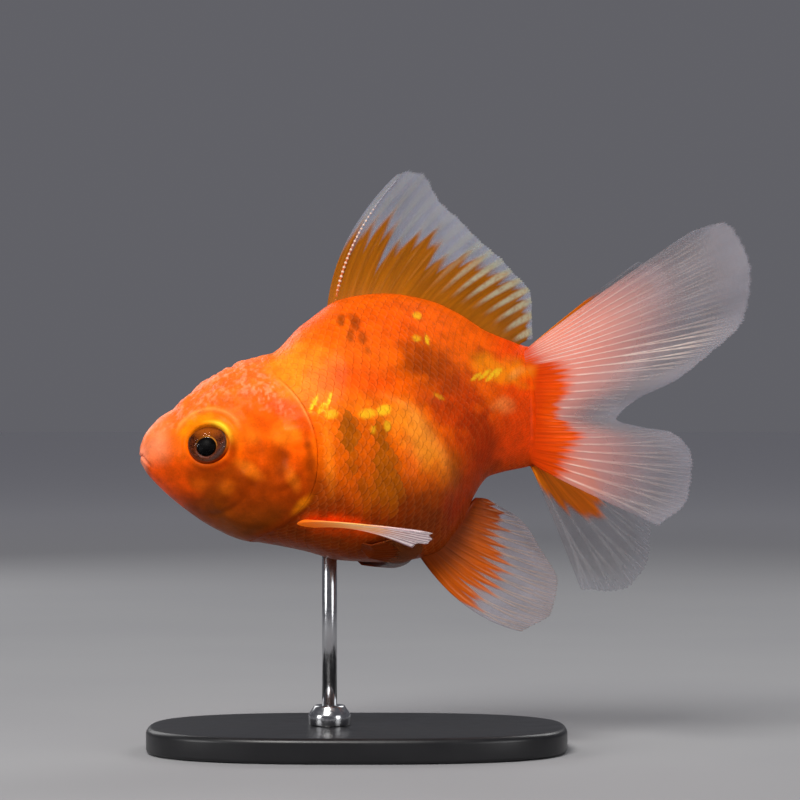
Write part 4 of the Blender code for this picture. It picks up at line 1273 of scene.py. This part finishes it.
def angle_of_height(along, height):
    """The angle, on the left side, at which the body's surface has this height."""
    back, belly, _, widest = np.moveaxis(BODY_SHAPE(along), -1, 0)
    fullness = np.where(height > widest, BACK_SHAPE(along), BELLY_SHAPE(along))
    reach = np.where(height > widest, back - widest, widest - belly)
    share = np.clip((height - widest) / reach, -0.999, 0.999)
    return np.arcsin(signed_power(share, fullness / 2))


def sided(grid, side):
    """The grid of a left fin as it is for side 1, mirrored to the right for side -1."""
    sheet, share, reach = grid
    return sheet * (1, side, 1), share, reach


def pelvic_grid(across, along, rays):
    """A small fan folded back along the underside of the belly."""
    share, reach = np.meshgrid(evenly(across + 1), evenly(along + 1), indexing="ij")
    notches = 0.03 * (1 - ray_height(share, 1.0, rays)) * smooth(reach, 0.6, 1)
    rounded = 1 - 0.3 * (2 * share - 1) ** 2 - notches
    low, high = PELVIC_ANGLES
    fan = 0.18 + 0.82 * reach**0.8
    around = (low + high) / 2 + (share - 0.5) * (high - low) * fan * 1.6
    back = PELVIC_FROM + PELVIC_LENGTH * reach * rounded
    lift = (-1.0 + 1.75 * np.clip(reach * 4, 0, 1) + 0.2 * reach**1.5) * MM
    sheet = body_point(back, around) + body_normal(back, around) * lift[..., None]
    return sheet, share, reach


def make_dorsal():
    rays = 18
    finish = fin_finish(
        "dorsal web", rays, ((192, 108, 8), (128, 72, 2)), (180, 180, 152), (172, 174, 192), (190, 170, 150),
        0.26, 0.40, flesh_alpha=0.92, ragged=0.16, tips=0.36, width=(0.26, 0.32), forked=0.25, fringe=0.3,
        soft=1.7,
    )
    grid = fin_grid(DORSAL_ROOT, DORSAL_MARGIN, DORSAL_BOW, 160, 60, rays, 0.0, 0.022)
    pigment = curve_of([
        (0, 0.5), (0.06, 0.52), (0.12, 0.62), (0.17, 0.60), (0.22, 0.42), (0.27, 0.5), (0.35, 0.72),
        (0.41, 0.68), (0.46, 0.54), (0.54, 0.74), (0.64, 0.80), (0.75, 0.90), (0.88, 0.94), (1, 0.8),
    ])

    def values(s, t):
        deep = 0.45 + 0.25 * smooth(t, 0.0, 0.5) + 0.1 * smooth(s, 0.3, 0.8)
        bare = smooth(s, 0.42, 0.66) * smooth(t, 0.2, 0.6) * 0.75
        return pigment(s) - t, 0.0, mix(0.35, 1.0, smooth(s, 0.4, 0.65)), deep, bare

    make_fin("dorsal_fin", grid, rays, 2.0, (1.6, 0.5, 0.4), values, finish, fleshy=0.28, ribs=0.2)
    beads = Finish("spine beads", Specular_IOR_Level=0.4)
    grainy, knobbed = beads.noise(0.6 * MM), beads.ramp(beads.value("Knob"), 0.25, 0.7)
    knobs = beads.blend(grainy, colour(242, 210, 186), colour(216, 180, 160))
    beads.end(
        Base_Color=beads.blend(knobbed, beads.value("Tint", "Color"), knobs),
        Roughness=beads.ramp(grainy, 0.2, 0.8, 0.3, 0.45),
    )
    make_spine(grid[0], beads.material)


def make_spine(sheet, finish, share=0.045, segments=190, sides=12, beads=31):
    """The serrated leading ray of the dorsal fin: a slim bony rod set in the web, knobbed like a saw.

    It lies a little behind the fin's clear front edge."""
    column = share * (sheet.shape[0] - 1)
    i = int(column)
    line = mix(sheet[i], sheet[i + 1], column - i)[2:]
    way = np.linspace(0.02, 0.93, segments) * (len(line) - 1)
    middle = np.stack([np.interp(way, np.arange(len(line)), line[:, k]) for k in range(3)], axis=-1)
    middle[:, 1] -= 0.15 * MM
    middle = place(middle)
    tangent = unit(np.gradient(middle, axis=0))
    beside = unit(np.cross(tangent, [0, 1, 0]))
    other = np.cross(tangent, beside)
    reach = evenly(segments)
    knob = np.abs(np.sin(reach * beads * math.pi)) ** 2.5
    radius = (0.2 * (1 - 0.8 * reach) + 0.13 * knob * (1 - 0.5 * reach) + 0.05) * MM
    turn = full_turn(sides)[None, :, None]
    spokes = np.cos(turn) * beside[:, None] + np.sin(turn) * other[:, None]
    rings = middle[:, None] + spokes * radius[:, None, None]
    shown = 0.8 * knob * smooth(reach, 0.98, 0.6) * smooth(reach, 0.0, 0.2)
    low, high = colour(196, 92, 20), colour(150, 148, 160)
    tint = mix(low, high, smooth(reach, 0.3, 0.6)[:, None])
    build_mesh(
        "dorsal_spine", np.vstack([rings.reshape(-1, 3), middle[0], middle[-1]]),
        ring_faces(segments, sides), finish, "fin", {
            "Knob": np.concatenate([np.repeat(shown, sides), [0, 0]]),
            "Tint": np.vstack([np.repeat(tint, sides, axis=0), low, high]),
        }, outward=True,
    )


def make_tail():
    rays = 30
    finish = fin_finish(
        "tail web", rays, ((232, 80, 0), (214, 60, 0)), (252, 230, 218), (146, 140, 148), (255, 158, 138),
        0.34, 0.55, flesh_alpha=1.0, ragged=0.11, tips=0.12, width=(0.2, 0.07), fringe=0.25,
    )
    # The far tail fin's flesh is painted brighter than the near one's, to make up for the shade it lies in.
    far_finish = fin_finish(
        "far tail web", rays, ((255, 132, 10), (232, 112, 6)), (210, 206, 208), (146, 140, 146),
        (186, 160, 150), 0.26, 0.46, flesh_alpha=0.97, ragged=0.12, width=(0.2, 0.07), fringe=0.3,
    )
    near_pigment = curve_of([
        (0, 0.04), (0.2, 0.02), (0.34, 0.07), (0.44, 0.20), (0.54, 0.28), (0.6, 0.27), (0.68, 0.38),
        (0.76, 0.36), (0.84, 0.26), (0.92, 0.22), (1, 0.26),
    ])
    far_pigment = curve_of([
        (0, 0.56), (0.05, 0.5), (0.12, 0.3), (0.3, 0.2), (0.55, 0.25), (0.7, 0.34), (0.8, 0.54),
        (0.88, 0.56), (0.94, 0.4), (1, 0.2),
    ])

    def near(s, t):
        upper = smooth(s, 0.6, 0.45)
        blush = upper * smooth(t, 0.78, 0.15) * 0.95 + (1 - upper) * smooth(t, 0.85, 0.2) * 0.7
        # The rays are brighter towards the root, and a painted highlight runs along those near the middle of
        # the fin.
        bright = 0.22 + 0.7 * smooth(t, 0.6, 0.15) + 0.6 * bump(s, 0.42, 0.06) * smooth(t, 0.35, 0.6)
        shine = bright * smooth(t, 1.05, 0.8)
        return near_pigment(s) - t, blush, shine, smooth(t, 0.3, 0.05), smooth(s, 0.4, 0.15) * 0.6

    def far(s, t):
        return far_pigment(s) - t, 0.3 * smooth(t, 0.6, 0.2), 0.5, smooth(t, 0.1, 0.5), 0.0

    for word, flat_margin, turn, values, look, waves in (
        ("left", LEFT_TAIL_MARGIN, LEFT_SWING, near, finish, (3.4, 0.75, 0.9)),
        ("right", RIGHT_TAIL_MARGIN, RIGHT_SWING, far, far_finish, (2.7, 0.7, 2.1)),
    ):
        margin = [(share, back, TAIL_SIDEWAYS, high) for share, back, high in flat_margin]
        sheet, *places = fin_grid(TAIL_ROOT, margin, TAIL_BOW, 270, 84, rays, 0.09, 0.016)
        grid = swing(sheet, *turn), *places
        make_fin(f"tail_fin_{word}", grid, rays, 2.0, waves, values, look, fleshy=0.3, ribs=0.2)


def make_small_fins():
    """The anal fin, and the pairs of pectoral and pelvic fins, whose right ones mirror the left."""
    rays = 14
    finish = fin_finish(
        "anal web", rays, ((200, 86, 0), (136, 50, 0)), (214, 176, 140), (158, 150, 162), (190, 120, 60),
        0.36, 0.56, flesh_alpha=0.97, ragged=0.22, tips=0.4, width=(0.2, 0.08),
    )
    grid = fin_grid(ANAL_ROOT, ANAL_MARGIN, ANAL_BOW, 140, 60, rays, 0.05, 0.02)
    limit = curve_of([(0, 0.5), (0.3, 0.46), (0.6, 0.44), (0.8, 0.52), (1, 0.66)])

    def anal(s, t):
        deep = np.maximum(smooth(s, 0.4, 1.0), smooth(t, 0.3, 0.05))
        shine = 0.45 + 0.35 * smooth(t, 0.8, 0.3)
        return limit(s) - t, 0.6 * smooth(t, 0.6, 0.3), shine, deep, 0.3 * smooth(t, 0.2, 0.45)

    make_fin("anal_fin", grid, rays, 2.2, (1.2, 0.5, 1.2), anal, finish, fleshy=0.3, ribs=0.22)

    def pectoral(s, t):
        deep = np.maximum(smooth(t, 0.5, 0.1), 0.7 * smooth(s, 0.4, 0.9))
        shine, bare = 0.4 + 0.6 * smooth(t, 0.3, 0.7), 0.7 * smooth(t, 0.3, 0.6)
        return 0.72 - 0.1 * s - t, 0.7 * smooth(t, 0.95, 0.6), shine, deep, bare

    def pelvic(s, t):
        return 0.6 - t, 0.5, 0.4, 0.6, 0.4 * smooth(t, 0.1, 0.4)

    pectoral_rays, pelvic_rays = 11, 9
    # The pectoral fins also give off a little light of their own, painted light standing in for light coming
    # through them from above.
    pectoral_finish = fin_finish(
        "pectoral web", pectoral_rays, ((255, 188, 108), (255, 116, 20)), (255, 240, 238), (186, 158, 168),
        (255, 186, 150), 0.72, 0.97, flesh_alpha=0.98, ragged=0.16, tips=0.3, width=(0.22, 0.16), forked=0.5,
        through=0.25,
    )
    # The pelvic fins are painted dark brown like the belly beside them: partly their own colour, partly
    # painted shade of the underside.
    pelvic_finish = fin_finish(
        "pelvic web", pelvic_rays, ((134, 50, 4), (110, 38, 2)), (150, 84, 40), (120, 66, 34), (140, 66, 20),
        0.4, 0.5, flesh_alpha=0.98, ragged=0.15,
    )
    pectoral_grid = fin_grid(PECTORAL_ROOT, PECTORAL_MARGIN, PECTORAL_BOW, 84, 52, pectoral_rays, 0.06, 0.03)
    folded_grid = pelvic_grid(54, 36, pelvic_rays)
    for side, word in ((1, "left"), (-1, "right")):
        make_fin(
            f"pectoral_fin_{word}", sided(pectoral_grid, side), pectoral_rays, 1.5, (1.5, 0.25, 0.0),
            pectoral, pectoral_finish, fleshy=0.35, ribs=0.24,
        )
        make_fin(
            f"pelvic_fin_{word}", sided(folded_grid, side), pelvic_rays, 0.8, (1.0, 0.05, 0.0),
            pelvic, pelvic_finish, fleshy=0.35, ribs=0.18,
        )


# ---------------------------------------------------------------- stand

def closed_rings(name, rings, ends, finish, slot):
    rows, sides = rings.shape[:2]
    points = np.vstack([rings.reshape(-1, 3), ends])
    return build_mesh(name, points, ring_faces(rows, sides), finish, slot, outward=True)


def turned_on_rod(name, profile, finish, sides=96):
    """A round upright piece about the rod's axis, from (radius, height) points listed from its foot up."""
    radius, level = np.array(profile).T[:, :, None] * MM
    turn = full_turn(sides)
    x, y = ROD_AT + radius * np.cos(turn), radius * np.sin(turn)
    rings = np.stack([x, y, level + 0 * turn], axis=-1)
    ends = [(ROD_AT, 0, level[0, 0]), (ROD_AT, 0, level[-1, 0])]
    return closed_rings(name, rings, ends, finish, "stand_steel")


def make_stand():
    """The stand as in the CAD, with its edges rounded: satin black base, polished steel collar and rod."""
    black = Finish("satin black", Specular_IOR_Level=0.4)
    black.mottled(
        black.noise(9 * MM, 3.0), colour(22, 22, 24), colour(30, 30, 32), 0.3, 0.7, 0.3, 0.4,
        Normal=black.bump(black.noise(0.5 * MM, 3.0), 0.006 * MM),
    )
    steel = Finish("brushed steel", Metallic=1.0)
    drawn = steel.compute("MULTIPLY", steel.coordinates, (0.3, 0.3, 1.0), kind="VectorMath")
    lines = steel.noise(0.3 * MM, vector=drawn)
    steel.mottled(lines, colour(176, 177, 180), colour(200, 200, 202), 0.3, 0.7, 0.16, 0.24)
    half_x, half_y, height = BASE_SIZE / (2, 2, 1)
    # The base's edge from its underside up and in over its top: how far out, and how high.
    corner = np.linspace(0, math.pi / 2, 9)
    edge = [(BASE_EDGE * (math.sin(x) - 1), 0.7 * BASE_EDGE * (1 - math.cos(x))) for x in corner]
    edge += [(BASE_EDGE * (math.cos(x) - 1), height - BASE_EDGE * (1 - math.sin(x))) for x in corner]
    edge += [(-half_y * share, height) for share in (0.12, 0.4, 0.8)]
    turn = full_turn(BASE_SIDES)
    x, y = signed_power(np.cos(turn), 0.75), signed_power(np.sin(turn), 0.75)
    rings = np.array([
        np.stack([(half_x + out) * x, (half_y + out) * y, np.full(BASE_SIDES, level)], axis=-1)
        for out, level in edge
    ])
    base = closed_rings("base_plate", rings, [(0, 0, 0), (0, 0, height)], black.material, "stand_base")
    foot, top, thick = height / MM, ROD_TOP / MM, ROD_RADIUS / MM
    wide, high = COLLAR_RADIUS / MM, COLLAR_HEIGHT / MM
    collar = [(0.4, foot), (wide - 0.25, foot), (wide - 0.07, foot + 0.07), (wide, foot + 0.25)]
    collar += [(wide, foot + 0.5 * high), (wide - 0.12, foot + 0.6 * high), (0.75 * wide, foot + 0.94 * high)]
    collar += [(0.72 * wide, foot + 0.99 * high), (0.68 * wide, foot + high), (0.4 * wide, foot + high)]
    rod = [(thick, foot + 0.6 * high), (thick, mix(foot + high, top, 0.5))]
    rod += [(thick, top - 0.2), (thick - 0.2, top)]
    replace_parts(base, "stand_base")
    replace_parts(turned_on_rod("base_collar", collar, steel.material), "stand_collar")
    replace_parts(turned_on_rod("rod", rod, steel.material), "stand_rod")


# ---------------------------------------------------------------- studio

CAMERA_AT = (0.0086, -0.600, 0.070)
LIGHTS_AIM = (0.0, 0.0, 0.075)
# Name, place, size (m), power (W), and for the key its tint.
LIGHTS = [
    ("key", (-0.13, -0.37, 0.54), 0.28, 3.45, (1.0, 0.98, 0.95)),
    ("side", (0.60, -0.50, 0.20), 0.35, 1.3),
    ("front", (-0.65, -0.40, 0.24), 0.35, 1.7),
    ("rim", (0.30, 0.38, 0.42), 0.3, 0.9),
    ("far", (-0.32, 0.48, 0.34), 0.35, 0.8),
]


def make_stage():
    """A wide floor, paler far off, where it takes the light of the grey surroundings and no edge shows."""
    turn = full_turn(96)
    points = FLOOR_REACH * np.stack([np.cos(turn), np.sin(turn), 0 * turn], axis=-1)
    paper = Finish("studio paper")
    distance = paper.node("VectorMath", {"operation": "LENGTH"}, Vector=paper.coordinates).outputs["Value"]
    soft = paper.noise(120 * MM)
    patchy = paper.times(paper.ramp(soft, 0.35, 0.65), 0.3)
    near = paper.blend(patchy, colour(156, 156, 158), colour(148, 148, 152))
    tone = paper.blend(paper.ramp(distance, 0.3, 1.3), near, colour(250, 250, 252))
    paper.end(Base_Color=tone, Roughness=paper.ramp(soft, 0.2, 0.8, 0.85, 0.95))
    faces = [fan_faces(np.arange(len(turn)), len(turn), flip=True)]
    build_mesh("floor", np.vstack([points, [[0, 0, 0]]]), faces, paper.material)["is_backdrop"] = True


def add_light(name, where, size, power, tint=(1.0, 1.0, 1.0)):
    light = bpy.data.lights.new(name, "AREA")
    light.shape, light.size, light.energy, light.color = "DISK", size, power, tint
    obj = bpy.data.objects.new(name, light)
    obj.visible_camera = False
    bpy.context.scene.collection.objects.link(obj)
    obj.location = where
    obj.rotation_euler = (Vector(LIGHTS_AIM) - Vector(where)).to_track_quat("-Z", "Y").to_euler()


def make_lights_and_camera():
    scene = bpy.context.scene
    for light in LIGHTS:
        add_light(*light)
    world = bpy.data.worlds.new("studio")
    world.use_nodes = True
    background = world.node_tree.nodes["Background"]
    background.inputs["Color"].default_value = (0.86, 0.86, 0.97, 1.0)
    background.inputs["Strength"].default_value = 0.14
    scene.world = world
    camera = bpy.data.cameras.new("camera")
    camera.lens, camera.sensor_width = 135, 36
    camera.clip_start, camera.clip_end = 0.05, 10
    holder = bpy.data.objects.new("camera", camera)
    holder.location = CAMERA_AT
    holder.rotation_euler = (math.pi / 2, 0, 0)
    scene.collection.objects.link(holder)
    scene.camera = holder
    scene.view_settings.view_transform = "Standard"


flesh = flesh_finish("wet orange skin")
make_skin(flesh)
make_scales(flesh)
make_eyes()
make_dorsal()
make_tail()
make_small_fins()
make_stand()
make_stage()
make_lights_and_camera()

visual_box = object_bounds()
boxes = {"cad": cad_box, "visual": visual_box}
{key: [list(corner) for corner in box] for key, box in boxes.items()}
